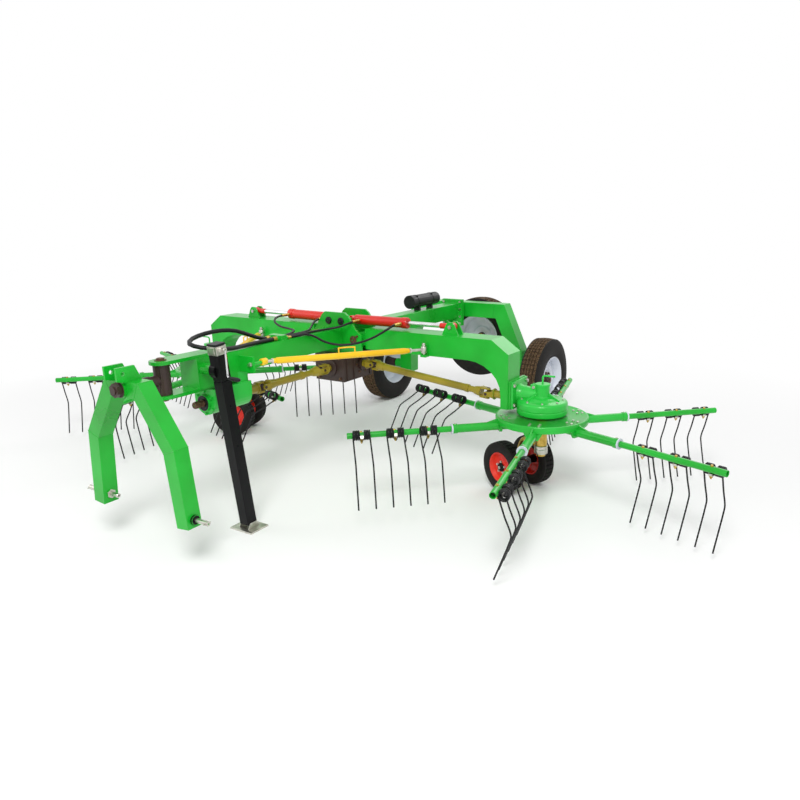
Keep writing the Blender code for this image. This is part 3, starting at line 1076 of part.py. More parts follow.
def castor(name, side, parent, green, rubber, steel):
    """Swivelling twin-wheel castor on the rotor's fixed column."""
    angle = CASTOR_TURN if side > 0 else pi - CASTOR_TURN
    trail = Vector((cos(angle), sin(angle), 0))
    axle = Vector((-sin(angle), cos(angle), 0))
    centre = Vector((side * ROTOR_X, ROTOR_Y, 0))
    up = Vector((0, 0, 1))
    hub = centre + trail * CASTOR_TRAIL + up * CASTOR_TYRE_RADIUS
    bar_z = CASTOR_SLEEVE_BOTTOM + CASTOR_BAR
    bm = bmesh.new()
    rod(bm, centre + up * CASTOR_SLEEVE_BOTTOM, centre + up * CASTOR_SLEEVE_TOP, CASTOR_SLEEVE_RADIUS, TUBE_SIDES)
    sweep(bm, [centre + up * bar_z + trail * (CASTOR_SLEEVE_RADIUS - BITE - BITE),
               centre + up * bar_z + trail * (CASTOR_TRAIL - CASTOR_BEND), hub], square(CASTOR_BAR), axle)
    rod(bm, hub - axle * CASTOR_BAR, hub + axle * CASTOR_BAR, CASTOR_BEARING_RADIUS, TUBE_SIDES)
    cut = bmesh.new()
    bore(cut, hub - axle * (CASTOR_BAR + OVERRUN), hub + axle * (CASTOR_BAR + OVERRUN), CASTOR_AXLE_RADIUS)
    bore(cut, centre + up * (CASTOR_SLEEVE_BOTTOM - OVERRUN), centre + up * (CASTOR_SLEEVE_TOP + OVERRUN), COLUMN_RADIUS)
    frame = piece("castor_frame_" + name, bm, green, parent, origin=centre + up * CASTOR_SLEEVE_TOP, cut=cut)
    for label, way in (("outer", 1), ("inner", -1)):
        middle = hub + axle * way * CASTOR_TRACK / 2
        bm = bmesh.new()
        turned(bm, wheel_profile(CASTOR_TYRE_RADIUS, CASTOR_RIM_RADIUS, CASTOR_TYRE_WIDTH, CASTOR_AXLE_RADIUS, way),
               middle, axle, CASTOR_SIDES)
        piece(f"castor_wheel_{name}_{label}", bm, rubber, frame, origin=middle, welded=False)
    bm = bmesh.new()
    reach = CASTOR_TRACK / 2 + CASTOR_TYRE_WIDTH / 4
    rod(bm, hub - axle * reach, hub + axle * reach, CASTOR_AXLE_RADIUS, TUBE_SIDES)
    piece("castor_axle_" + name, bm, steel, frame, origin=hub)


def canister(parent, black):
    """Document canister on its saddle on the rear beam."""
    bm = bmesh.new()
    axis_z = BEAM_TOP + SEAT + CANISTER_SADDLE + CANISTER_RADIUS
    end = CANISTER_START + CANISTER_LENGTH
    rod(bm, (0, CANISTER_START, axis_z), (0, end, axis_z), CANISTER_RADIUS, DRUM_SIDES)
    rod(bm, (0, CANISTER_START - CANISTER_SADDLE, axis_z), (0, CANISTER_START + CANISTER_SADDLE, axis_z), CANISTER_RADIUS + BITE, DRUM_SIDES)
    for share in (0.25, 0.75):
        y = CANISTER_START + CANISTER_LENGTH * share
        box(bm, (-CANISTER_SADDLE, y - CANISTER_SADDLE / 2, BEAM_TOP + SEAT), (CANISTER_SADDLE, y + CANISTER_SADDLE / 2, axis_z))
    piece("document_canister", bm, black, parent)


def build():
    clear_scene()
    green = paint("green paint", 0.03, 0.6, 0.06, 0.35)
    red = paint("red paint", 0.69, 0.013, 0.005, 0.35)
    yellow = paint("yellow paint", 1.0, 0.74, 0.01, 0.4)
    olive = paint("olive plastic", 0.36, 0.27, 0.01, 0.55)
    black = paint("black paint", 0.008, 0.008, 0.01, 0.4)
    rubber = paint("tyre rubber", 0.015, 0.015, 0.015, 0.8)
    brown = paint("dark brown casting", 0.03, 0.012, 0.006, 0.5)
    hose_rubber = paint("hose rubber", 0.012, 0.012, 0.012, 0.5)
    zinc = paint("zinc plate", 0.6, 0.6, 0.58, 0.35, 1.0)
    chrome = paint("hard chrome", 0.8, 0.8, 0.8, 0.12, 1.0)
    root = bpy.data.objects.new("hay_rake", None)
    bpy.context.scene.collection.objects.link(root)
    backbone(root, green)
    hinge_housing(root, green)
    rear_beam(root, green)
    portal(root, green)
    rear_wheels(root, rubber)
    spare_wheel(root, rubber, yellow)
    headstock(root, green, zinc)
    jack(root, black, zinc)
    driveline(root, green, brown, olive)
    hoses(root, hose_rubber)
    canister(root, black)
    for name, side in (("left", 1), ("right", -1)):
        lift_arm(name, side, root, green)
        brace(name, side, root, yellow)
        cylinder(name, side, root, red, chrome)
        side_shaft(name, side, root, olive)
        rotor_gearbox(name, side, root, green)
        rotor(name, side, root, green)
        castor(name, side, root, green, rubber, zinc)
    front = EAR_HOLE_Y - EAR_ROUND
    root.location = (0, -(front + PORTAL_Y + REAR_TYRE_RADIUS) / 2, 0)


build()
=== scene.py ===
"""Looks of the hay rake: paint, rubber, rims, springs, joints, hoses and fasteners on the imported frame."""

import bpy
import bmesh
from math import cos, pi, radians, sin, tau
from mathutils import Matrix, Vector


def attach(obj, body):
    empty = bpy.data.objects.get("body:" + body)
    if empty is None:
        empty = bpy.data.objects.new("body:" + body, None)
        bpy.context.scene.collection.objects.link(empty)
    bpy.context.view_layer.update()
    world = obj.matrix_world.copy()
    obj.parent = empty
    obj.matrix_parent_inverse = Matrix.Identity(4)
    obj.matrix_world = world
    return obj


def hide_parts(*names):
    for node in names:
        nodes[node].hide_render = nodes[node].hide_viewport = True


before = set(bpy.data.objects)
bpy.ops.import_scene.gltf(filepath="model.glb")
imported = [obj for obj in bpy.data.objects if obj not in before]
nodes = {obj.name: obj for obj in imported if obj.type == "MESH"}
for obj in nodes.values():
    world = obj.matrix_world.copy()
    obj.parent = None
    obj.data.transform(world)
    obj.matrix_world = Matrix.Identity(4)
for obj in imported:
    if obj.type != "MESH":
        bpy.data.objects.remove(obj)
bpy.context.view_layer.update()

X, Y, Z = Vector((1, 0, 0)), Vector((0, 1, 0)), Vector((0, 0, 1))
SIDES = (("left", 1), ("right", -1))

# Sizes in metres that the pieces share with the CAD part, laid out as the part is before its last shift

SHIFT = Vector((0, -0.1215, 0))  # from the part's own layout to the middle of its outline
COVER = 0.0006                   # how far a yoke stands over the CAD shape that it covers
ROUND = 28                       # sides of a plain bar

HINGE_X, HINGE_Z = 0.184, 1.105  # the line about which an arm lifts, and its brace's front pin
HOUSING_FACE = 0.145
BRACE_FRONT_Y, BRACE_END = -1.13, (0.86, -0.135, 1.084)
BARREL_PIN, ROD_PIN = (0.064, 0, 1.25), (1.04, 0, 1.256)
PORTS = (0.115, 0.53)            # along a cylinder from its base pin
ROLL_Z, YAW_Y, HEADSTOCK_Y = 1.095, -1.8, -2.03
LEG_OUTSIDE, LEG_INSIDE, HITCH_PIN_Z, HITCH_PIN = 0.455, 0.341, 0.345, 0.0146
# Middle of a hitch leg, from its foot up
LEG_LINE = ((0.405, 0.29), (0.36, 0.76), (0.13, 1.095), (-0.13, 1.095))
JACK_X, JACK_Y, JACK_LEAN, JACK_TUBE = 0.245, -1.444, radians(5.6), 0.08
# Out from the crank's hub, and down
JACK_HANDLE = ((0.012, 0), (0.02, 0), (0.028, 0.004), (0.0335, 0.014), (0.034, 0.03), (0.034, 0.15),
               (0.0355, 0.168), (0.043, 0.177), (0.06, 0.18), (0.1, 0.18))
DRIVE_Z, INPUT_Y = 0.875, -1.5

ROTOR_X, ROTOR_Y, ARM_Z, ARMS = 1.774, 0.04, 0.588, 6
ROTOR_PHASE, CAM_LIFT = radians(42.4), radians(50)
GEARCASE_FACE, CROWN_Z, DISC_TOP = 1.5785, 0.7655, 0.649
CASE_RIB_TURN = 2.2  # radians from the rib that points away from the arm
# Out from the rotor's axis, and up
HEIGHT_CRANK = ((0, 0.87), (0, 0.91), (0.0, 0.932), (0.01, 0.943), (0.03, 0.945), (0.08, 0.945),
                (0.094, 0.947))
ARM_START, ARM_TIP, ARM_RADIUS, ARM_BORE, ARM_PLUG = 0.6878, 1.43, 0.022, 0.018, 0.1
WIRE, LEG_SPACING, TINE_FIRST, TINE_PITCH, TINES = 0.0055, 0.118, 0.8, 0.236, 3
COIL_TURNS, COIL_STEPS, COIL_RADIUS, COIL_OUT, COIL_DROP, COIL_END = 4, 12, 0.0315, 0.049, 0.017, radians(200)
LEG_ROUTE = ((0.0285, 0.0428), (0.0589, 0.139), (0.095, 0.235), (0.088, 0.289), (0.045, 0.411), (0.0, 0.533))

YOKE_GAP, YOKE_LUG, YOKE_WIDTH, YOKE_REACH, YOKE_HUB, CROSS_RADIUS = 0.056, 0.014, 0.036, 0.052, 0.012, 0.01
HUB_END, PIN_REACH = YOKE_REACH + YOKE_HUB, YOKE_GAP / 2 + 0.004
INNER_JOINT, OUTER_JOINT = (0.27, 0, 0.885), (1.345, 0, 0.77)
FRONT_FACE, FRONT_CROSS, SHAFT_STEP, REAR_CROSS, REAR_FACE = -1.1797, -0.9897, -0.5593, -0.3453, -0.2403
SHAFT_TUBE, SHAFT_SLIDER, SHAFT_BARE = 0.029, 0.0245, 0.1

# A tyre's radius, its rim's radius and its width, the grooves round it and the parts round which it is drawn
ROAD_TYRE, CASTOR_TYRE = (0.4328, 0.235, 0.218, 4, 168), (0.1998, 0.115, 0.109, 4, 108)
# Across in widths and up in heights of the wall
TYRE_WALL = ((0.36, 0), (0.44, 0.1), (0.49, 0.32), (0.5, 0.5), (0.485, 0.72), (0.455, 0.88), (0.415, 0.965))
LEAST_RIB = 0.00003  # square metres; the faces in a groove are smaller
ROAD_WHEEL, SPARE_WHEEL = (0.984, 1.95, 0.433), (0.13, 2.1803, 0.79)
CASTOR_TURN, CASTOR_TRAIL, CASTOR_Z, CASTOR_TRACK_HALF = radians(156), 0.25, 0.2, 0.1475

HOSE, SLEEVE = 0.018, 0.03  # diameters


def into_port(x, z):
    """The straight end of a hose, on its way into a cylinder's port."""
    return (x, -0.145, z), (x, -0.127, z), (x, -0.1083, z)


# Each hose: diameter, steps between two points of its route, and the route across, along and up
HOSES = (
    ("supply_sleeve", SLEEVE, 2, (
        (0.035, -0.8503, 1.2103), (0.035, -0.92, 1.2106), (0.038, -1.06, 1.211), (0.058, -1.19, 1.213),
        (0.083, -1.32, 1.219), (0.083, -1.43, 1.236), (0.035, -1.52, 1.254), (-0.05, -1.535, 1.272),
        (-0.115, -1.46, 1.29), (-0.128, -1.34, 1.307), (-0.105, -1.22, 1.313), (-0.075, -1.12, 1.298),
        (-0.052, -1.03, 1.26), (-0.04, -0.95, 1.227), (-0.036, -0.9, 1.213), (-0.035, -0.88, 1.2106),
        (-0.035, -0.867, 1.2104), (-0.035, -0.8503, 1.2103))),
    ("hose_left_base", HOSE, 4, (
        (0.018, -0.7497, 1.2043), (0.018, -0.66, 1.2043), (0.02, -0.53, 1.2043), (0.028, -0.41, 1.2045),
        (0.06, -0.31, 1.208), (0.12, -0.245, 1.22), (0.164, -0.19, 1.24), *into_port(0.179, 1.2505))),
    ("hose_left_rod", HOSE, 3, (
        (0.05, -0.7497, 1.2043), (0.05, -0.7, 1.2043), (0.061, -0.64, 1.2055), (0.083, -0.58, 1.207),
        (0.112, -0.52, 1.183), (0.155, -0.455, 1.135), (0.235, -0.385, 1.108), (0.34, -0.32, 1.115),
        (0.455, -0.265, 1.155), (0.545, -0.215, 1.21), (0.585, -0.18, 1.242), *into_port(0.594, 1.2533))),
    ("hose_right_base", HOSE, 4, (
        (-0.018, -0.7497, 1.2043), (-0.018, -0.66, 1.2043), (-0.02, -0.53, 1.2045), (-0.045, -0.41, 1.207),
        (-0.11, -0.31, 1.215), (-0.152, -0.24, 1.229), (-0.174, -0.185, 1.243), *into_port(-0.179, 1.2505))),
    ("hose_right_rod", HOSE, 3, (
        (-0.05, -0.7497, 1.2043), (-0.05, -0.7, 1.2043), (-0.053, -0.645, 1.205), (-0.075, -0.57, 1.207),
        (-0.135, -0.485, 1.208), (-0.25, -0.42, 1.205), (-0.38, -0.375, 1.206), (-0.5, -0.32, 1.225),
        (-0.565, -0.25, 1.243), (-0.59, -0.185, 1.252), *into_port(-0.594, 1.2533))))

# The photo's view, and the light
CAMERA_PLACE, CAMERA_TURN = (3.613, -4.503, 2.035), (30.475, 15.269, -0.425)
LENS, LENS_SHIFT = 30.086, (-0.066, 0.0042)
WHITE = (1, 1, 1, 1)
WORLD_LIGHT = 0.62
LAMPS = (("key", (3.5, -5.5, 6.5), 330, 2.6), ("fill", (-5.5, -4.0, 4.5), 70, 4.0),
         ("rim", (1.0, 6.5, 5.5), 110, 4.0))  # place, power and size
LAMPS_AIM = Vector((0, 0, 0.5))
FLOOR_HALF, FADE_START, FADE_END = 60, 3.4, 6.0


# Camera, floor and light

def link(thing):
    bpy.context.scene.collection.objects.link(thing)
    return thing


def set_camera():
    azimuth, down, roll = (radians(turn) for turn in CAMERA_TURN)
    ahead = Vector((-sin(azimuth) * cos(down), cos(azimuth) * cos(down), -sin(down)))
    level = ahead.cross(Z).normalized()
    upright = level.cross(ahead)
    right = level * cos(roll) + upright * sin(roll)
    up = upright * cos(roll) - level * sin(roll)
    data = bpy.data.cameras.new("camera")
    data.sensor_width = 36
    data.lens = LENS
    data.shift_x, data.shift_y = LENS_SHIFT
    camera = link(bpy.data.objects.new("camera", data))
    place = Matrix((right, up, -ahead)).transposed().to_4x4()
    place.translation = CAMERA_PLACE
    camera.matrix_world = place
    bpy.context.scene.camera = camera


def linear(code):
    """A Blender colour from an sRGB hex code."""
    parts = [int(code[i:i + 2], 16) / 255 for i in (1, 3, 5)]
    return [p / 12.92 if p <= 0.04045 else ((p + 0.055) / 1.055) ** 2.4 for p in parts] + [1.0]


def add_node(tree, kind, settings=None, links=None, stops=None):
    """Adds one node with its settings and links, and the colours along it where it is a ramp."""
    node = tree.nodes.new(kind)
    for name, value in (settings or {}).items():
        if name in node.inputs:
            node.inputs[name].default_value = value
        else:
            setattr(node, name, value)
    for name, source in (links or {}).items():
        tree.links.new(source, node.inputs[name])
    if stops:
        elements = node.color_ramp.elements
        while len(elements) < len(stops):
            elements.new(0.5)
        for element, (place, code) in zip(elements, stops):
            element.position = place
            element.color = linear(code)
    return node


def set_world():
    """Soft light from all round, and plain white for what the camera, a gloss or a clear piece sees there."""
    bpy.context.scene.view_settings.view_transform = "Standard"
    world = bpy.data.worlds.new("studio")
    bpy.context.scene.world = world
    world.use_nodes = True
    tree = world.node_tree
    tree.nodes.clear()
    seen = add_node(tree, "ShaderNodeBackground", {"Color": WHITE, "Strength": 1.0})
    soft = add_node(tree, "ShaderNodeBackground", {"Color": WHITE, "Strength": WORLD_LIGHT})
    path = add_node(tree, "ShaderNodeLightPath").outputs
    direct = add_node(tree, "ShaderNodeMath", {"operation": "MAXIMUM"}, {
        0: path["Is Camera Ray"], 1: path["Is Glossy Ray"]})
    behind = add_node(tree, "ShaderNodeMath", {"operation": "MAXIMUM"}, {
        0: direct.outputs[0], 1: path["Is Transmission Ray"]})
    mix = add_node(tree, "ShaderNodeMixShader", links={
        "Fac": behind.outputs[0], 1: soft.outputs[0], 2: seen.outputs[0]})
    add_node(tree, "ShaderNodeOutputWorld", links={"Surface": mix.outputs[0]})


def set_lamps():
    for name, place, power, size in LAMPS:
        data = bpy.data.lights.new(name, "AREA")
        data.energy = power
        data.size = size
        lamp = link(bpy.data.objects.new(name, data))
        lamp.location = place
        lamp.rotation_euler = (LAMPS_AIM - Vector(place)).to_track_quat("-Z", "Y").to_euler()


def lay_floor():
    """A white studio floor that keeps the shadow. Far from the object it runs into the white behind it."""
    bm = bmesh.new()
    bmesh.ops.create_grid(bm, x_segments=1, y_segments=1, size=FLOOR_HALF)
    mesh = bpy.data.meshes.new("floor")
    bm.to_mesh(mesh)
    bm.free()
    floor = link(bpy.data.objects.new("floor", mesh))
    material = bpy.data.materials.new("white studio floor")
    material.use_nodes = True
    tree = material.node_tree
    shader = tree.nodes["Principled BSDF"]
    shader.inputs["Base Color"].default_value = WHITE
    shader.inputs["Roughness"].default_value = 1.0
    shader.inputs["Specular IOR Level"].default_value = 0.0
    away = add_node(tree, "ShaderNodeVectorMath", {"operation": "LENGTH"},
                    {0: add_node(tree, "ShaderNodeTexCoord").outputs["Object"]})
    fade = add_node(tree, "ShaderNodeMapRange", {"From Min": FADE_START, "From Max": FADE_END},
                    {"Value": away.outputs["Value"]})
    shown = add_node(tree, "ShaderNodeMath", {"operation": "MULTIPLY"}, {
        0: fade.outputs["Result"], 1: add_node(tree, "ShaderNodeLightPath").outputs["Is Camera Ray"]})
    glow = add_node(tree, "ShaderNodeEmission", {"Color": WHITE, "Strength": 1.0})
    mix = add_node(tree, "ShaderNodeMixShader", links={
        "Fac": shown.outputs[0], 1: shader.outputs[0], 2: glow.outputs[0]})
    tree.links.new(mix.outputs[0], tree.nodes["Material Output"].inputs["Surface"])
    mesh.materials.append(material)


# Materials


def start_material(name, slot, roughness, metallic=0.0, **constants):
    """A Principled material, and the Object coordinates that its patterns read."""
    material = bpy.data.materials.new(name)
    material.use_nodes = True
    tree = material.node_tree
    shader = tree.nodes["Principled BSDF"]
    shader.inputs["Roughness"].default_value = roughness
    shader.inputs["Metallic"].default_value = metallic
    for socket, value in constants.items():
        shader.inputs[socket.replace("_", " ")].default_value = value
    return material, tree, shader, add_node(tree, "ShaderNodeTexCoord").outputs["Object"]


def per_metre(millimetres):
    """A noise scale whose blotches are about this wide."""
    return 1000 / millimetres


def finish_surface(tree, shader, where, tone, stops, roughness, spread, grain, height, strength):
    """Drives colour and roughness by a tone pattern and bump by a grain, each given as size and detail."""
    tone, grain = (add_node(tree, "ShaderNodeTexNoise", {"Scale": per_metre(size), "Detail": detail},
                            {"Vector": where}).outputs["Fac"] for size, detail in (tone, grain))
    colour = add_node(tree, "ShaderNodeValToRGB", links={"Fac": tone}, stops=stops).outputs["Color"]
    tree.links.new(colour, shader.inputs["Base Color"])
    gloss = add_node(tree, "ShaderNodeMapRange", {"To Min": roughness - spread, "To Max": roughness + spread},
                     {"Value": tone})
    tree.links.new(gloss.outputs["Result"], shader.inputs["Roughness"])
    bump = add_node(tree, "ShaderNodeBump", {"Distance": height, "Strength": strength}, {"Height": grain})
    tree.links.new(bump.outputs["Normal"], shader.inputs["Normal"])
    return colour


def enamel(name, slot, shade, middle, light, dirt=None, roughness=0.3, coat=0.15, level=0.4):
    """Sprayed enamel on steel: an even gloss with slight orange peel, thin scuffs and a little dust."""
    material, tree, shader, where = start_material(name, slot, roughness, IOR=1.5, Coat_Weight=coat,
                                                   Coat_Roughness=0.12, Specular_IOR_Level=level)
    # The tone drifts over about 0.4 m. Real orange peel is about 2 mm; drawn at 7 mm so that it shows
    colour = finish_surface(tree, shader, where, (420, 3.0), [(0.3, shade), (0.5, middle), (0.72, light)],
                            roughness, 0.08, (7, 2.0), 0.0004, 0.2)
    if dirt:
        # Scuffs and dust: blotches of about 60 mm, broken up by a finer grain
        blotch = add_node(tree, "ShaderNodeTexNoise",
                          {"Scale": per_metre(60), "Detail": 8.0, "Roughness": 0.72}, {"Vector": where})
        mask = add_node(tree, "ShaderNodeValToRGB", links={"Fac": blotch.outputs["Fac"]},
                        stops=[(0.6, "#000000"), (0.72, "#8A8A8A")])
        mix = add_node(tree, "ShaderNodeMix", {"data_type": "RGBA"},
                       {"Factor": mask.outputs["Color"], 6: colour})
        mix.inputs[7].default_value = linear(dirt)
        tree.links.new(mix.outputs[2], shader.inputs["Base Color"])
    return material


def plated(name, slot, shade, light, roughness, blotch=40, metallic=1.0):
    """Bare or plated steel: a metal sheen that drifts from bright to dull in blotches."""
    material, tree, shader, where = start_material(name, slot, roughness, metallic)
    # A coat's crystals and tool marks are under 1 mm; drawn at 3 mm so that they show
    finish_surface(tree, shader, where, (blotch, 5.0), [(0.32, shade), (0.68, light)], roughness, 0.1,
                   (3, 2.0), 0.0003, 0.2)
    return material


def rubber(name, slot, clean, dusty, roughness=0.72, blotch=50, level=0.25):
    """Moulded rubber or plastic: matt and nearly black, with dust in patches."""
    material, tree, shader, where = start_material(name, slot, roughness, IOR=1.52, Specular_IOR_Level=level)
    # A mould's grain is about 0.5 mm; drawn at 4 mm so that it shows
    finish_surface(tree, shader, where, (blotch, 6.0), [(0.38, clean), (0.72, dusty)], roughness, 0.1,
                   (4, 3.0), 0.0004, 0.3)
    return material


# Sprayed on welded tube and plate: a bright, even green with a soft gloss
GREEN = enamel("green enamel", "green_paint", "#0A9C1E", "#0EAE28", "#18BE34")
# Scuffed by hay and mud on the rotor plates: dull tan patches in the green
DISC_GREEN = enamel("scuffed green enamel", "green_paint", "#10A024", "#18B030", "#26BE40", dirt="#9A8A64")
# Sprayed on cast iron, whose pores soften the shine: a paler green
CAST_GREEN = enamel("green enamel on castings", "green_paint", "#18AE32", "#22BE3E", "#32CC4E",
                    roughness=0.34)
# Sprayed on the turned cylinders: a deep, clean red
RED = enamel("red enamel", "red_paint", "#BE160E", "#D41E10", "#E22E1E")
# Sprayed on the tie rods: a full, warm yellow
YELLOW = enamel("yellow enamel", "yellow_paint", "#E8AE00", "#F6C208", "#FCD022")
# Enamel on the spare wheel's carrier: an orange yellow, darker than the yellow of the tie rods
ORANGE = enamel("orange yellow enamel", "yellow_paint", "#C4840E", "#D89816", "#E2A828")
# Thin on forged yokes and drawn tubes: olive gold under greasy dust
OLIVE = enamel("olive gold enamel", "olive_plastic", "#7A6A14", "#98851C", "#AE9A2C", dirt="#6A5428",
               roughness=0.4)
# Sprayed on the jack's square tubes: black with a low sheen
BLACK = enamel("black enamel", "black_paint", "#060608", "#0A0A0C", "#111114", roughness=0.4, coat=0.0,
               level=0.16)
# Cast iron under a film of oil: dark brown, with dust on the flats
BROWN = enamel("dark brown casting", "black_paint", "#2A1D19", "#3A2823", "#4A372E", dirt="#6E5236",
               roughness=0.5)
# Hardened spring wire, dip-painted: black, with a thin gleam along its round
SPRING = enamel("black spring steel", "black_paint", "#08080A", "#0D0D10", "#16161A", roughness=0.36, coat=0.0,
                level=0.3)
# Sprayed on pressed steel rims: a cool, pale silver
RIM_WHITE = enamel("silver rim enamel", "zinc_plate", "#BFC4D2", "#D2D7E2", "#E4E8F0", roughness=0.32)
# Sprayed on the castors' pressed rims: bright red with road dirt in patches
RIM_RED = enamel("red rim enamel", "red_paint", "#C01A10", "#DA2414", "#E83A26", dirt="#5A3A30",
                 roughness=0.36)
# Machined steel left bare in the weather: brown rust with dull metal between
RUST = plated("rusty steel", "zinc_plate", "#4A3226", "#7A5A44", 0.5, 12, 0.55)
# Zinc plate, dipped: a pale grey sheen with cloudy blotches
ZINC = plated("zinc plate", "zinc_plate", "#B4B0A6", "#DAD8D0", 0.32)
# Hard chrome, ground and polished: nearly a mirror
CHROME = plated("hard chrome", "zinc_plate", "#D8D8DA", "#F0F0F2", 0.14, 120)
# Zinc plate with a yellow passivation: a warm gold sheen
YELLOW_ZINC = plated("yellow zinc plate", "zinc_plate", "#A88A3C", "#D2B460", 0.32)
# Moulded tyre rubber: matt black with a trace of brown
TYRE = rubber("tyre rubber", "tyre_rubber", "#100F0E", "#201C19")
# Where the tyres roll: worn dull, and brown with dry dust
TREAD = rubber("dusty tread rubber", "tyre_rubber", "#33271C", "#7A6044", 0.85, 12)
# Extruded hose cover: black, with a soft gleam along its round
HOSE_RUBBER = rubber("hose rubber", "hose_rubber", "#09090B", "#121216", 0.46, level=0.3)
# Injection-moulded plastic: smooth black with a satin sheen
PLASTIC = rubber("black moulded plastic", "black_plastic", "#0A0B0D", "#15171A", 0.42, level=0.3)


# Shapes

def meshes(count):
    return [bmesh.new() for _ in range(count)]


def bar(bm, start, end, radius, end_radius=None, sides=ROUND):
    start, end = Vector(start), Vector(end)
    run = end - start
    place = Matrix.Translation((start + end) / 2) @ run.to_track_quat("Z", "Y").to_matrix().to_4x4()
    bmesh.ops.create_cone(bm, cap_ends=True, segments=sides, radius1=radius,
                          radius2=radius if end_radius is None else end_radius, depth=run.length,
                          matrix=place)


def block(bm, middle, size, turn=None):
    bmesh.ops.create_cube(bm, size=1, matrix=Matrix.LocRotScale(Vector(middle), turn, Vector(size)))


def slab(bm, outline, depth):
    """Extrudes a flat outline by the vector depth."""
    face = bm.faces.new([bm.verts.new(point) for point in outline])
    made = bmesh.ops.extrude_face_region(bm, geom=[face])
    moved = [item for item in made["geom"] if isinstance(item, bmesh.types.BMVert)]
    bmesh.ops.translate(bm, vec=depth, verts=moved)


def lathe(bm, profile, centre, axis, steps=72):
    """Spins a closed profile of (along the axis, radius) points once round the axis."""
    centre, axis = Vector(centre), Vector(axis).normalized()
    out = Z if abs(axis.z) < 0.9 else X
    out = (out - axis * out.dot(axis)).normalized()
    verts = [bm.verts.new(centre + axis * along + out * radius) for along, radius in profile]
    edges = [bm.edges.new((a, b)) for a, b in zip(verts, verts[1:] + verts[:1])]
    bmesh.ops.spin(bm, geom=verts + edges, cent=centre, axis=axis, angle=tau, steps=steps, use_merge=True)


def ring(bm, inner, outline, centre, axis, steps=40):
    """A turned ring or sleeve: its outline, closed on one inner radius."""
    lathe(bm, [(outline[0][0], inner), *outline, (outline[-1][0], inner)], centre, axis, steps)


def level_ways(turn):
    """Two level directions: along the turn, and square to it."""
    return Vector((cos(turn), sin(turn), 0)), Vector((-sin(turn), cos(turn), 0))


def eye(bm, centre, axis, bore, half, radius, bevel):
    """A pierced end: a short round boss about its pin, with its rims bevelled."""
    edge = radius - 0.002
    ring(bm, bore, [(-half, edge), (bevel - half, radius), (half - bevel, radius), (half, edge)],
         centre, axis, 36)


def bolt(bm, place, axis, across=0.024, height=0.011, washer=0.003):
    """A hexagon head on its washer, standing on a face."""
    place, axis = Vector(place), Vector(axis).normalized()
    washer_radius, corner, crown = across * 0.62, across * 0.577, across * 0.53
    bar(bm, place - axis * washer, place + axis * washer, washer_radius, sides=18)
    bar(bm, place, place + axis * (height + washer), corner, crown, 6)


def round_about(count, axis, start=0.0, first=Z):
    """Even turns about an axis, each as the direction out from it."""
    return [Matrix.Rotation(tau * (i + start) / count, 3, axis) @ first for i in range(count)]


def make(bm, name, material, body, replaces=(), edge=0.0, move=None):
    """Finishes a mesh as a piece of the machine, in its place in the world."""
    if move is not None:
        bmesh.ops.transform(bm, matrix=move, verts=bm.verts)
    bmesh.ops.translate(bm, vec=SHIFT, verts=bm.verts)
    bmesh.ops.recalc_face_normals(bm, faces=bm.faces)
    mesh = bpy.data.meshes.new(name)
    bm.to_mesh(mesh)
    bm.free()
    return settle(name, mesh, material, body, replaces, edge)


def settle(name, mesh, material, body, replaces, edge):
    """Shades a mesh, gives it its material, and ties it to its body."""
    mesh.shade_smooth()
    mesh.set_sharp_from_angle(angle=radians(35))
    mesh.materials.append(material)
    thing = link(bpy.data.objects.new(name, mesh))
    if edge:
        round_edges(thing, edge)
    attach(thing, body)
    if replaces:
        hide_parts(*replaces)
    return thing


def round_edges(thing, width):
    bevel = thing.modifiers.new("edges", "BEVEL")
    bevel.width = width
    bevel.segments = 2
    bevel.limit_method = "ANGLE"
    bevel.angle_limit = radians(40)
    bevel.harden_normals = True


def dress(node, material, edge):
    """Gives a CAD node its finish and takes the sharpness off its edges."""
    thing = nodes[node]
    for slot in thing.material_slots:
        slot.material = material
    weld = thing.modifiers.new("weld", "WELD")
    weld.merge_threshold = 0.00005
    flat = thing.modifiers.new("flat faces", "DECIMATE")
    flat.decimate_type = "DISSOLVE"
    flat.angle_limit = radians(1)
    round_edges(thing, edge)


def smooth_line(points, steps):
    """Points on a smooth curve through the given ones."""
    path = [Vector(point) for point in points]
    ends = [path[0] * 2 - path[1], *path, path[-1] * 2 - path[-2]]
    line = []
    for before, start, end, after in zip(ends, ends[1:], ends[2:], ends[3:]):
        for i in range(steps):
            t = i / steps
            line.append(start + (end - before) * t / 2
                        + (before * 2 - start * 5 + end * 4 - after) * t * t / 2
                        + (start * 3 - before - end * 3 + after) * t * t * t / 2)
    return line + [path[-1]]


def line_object(name, paths, radius, closed=False):
    """A curve with a round section, drawn finer where it is thick."""
    curve = bpy.data.curves.new(name, "CURVE")
    curve.dimensions = "3D"
    curve.bevel_depth = radius
    curve.bevel_resolution = 3 if radius > 0.012 else 2
    curve.use_fill_caps = True
    for path in paths:
        spline = curve.splines.new("POLY")
        spline.points.add(len(path) - 1)
        spline.use_cyclic_u = closed
        for point, place in zip(spline.points, path):
            point.co = (*(Vector(place) + SHIFT), 1)
    return link(bpy.data.objects.new(name, curve))


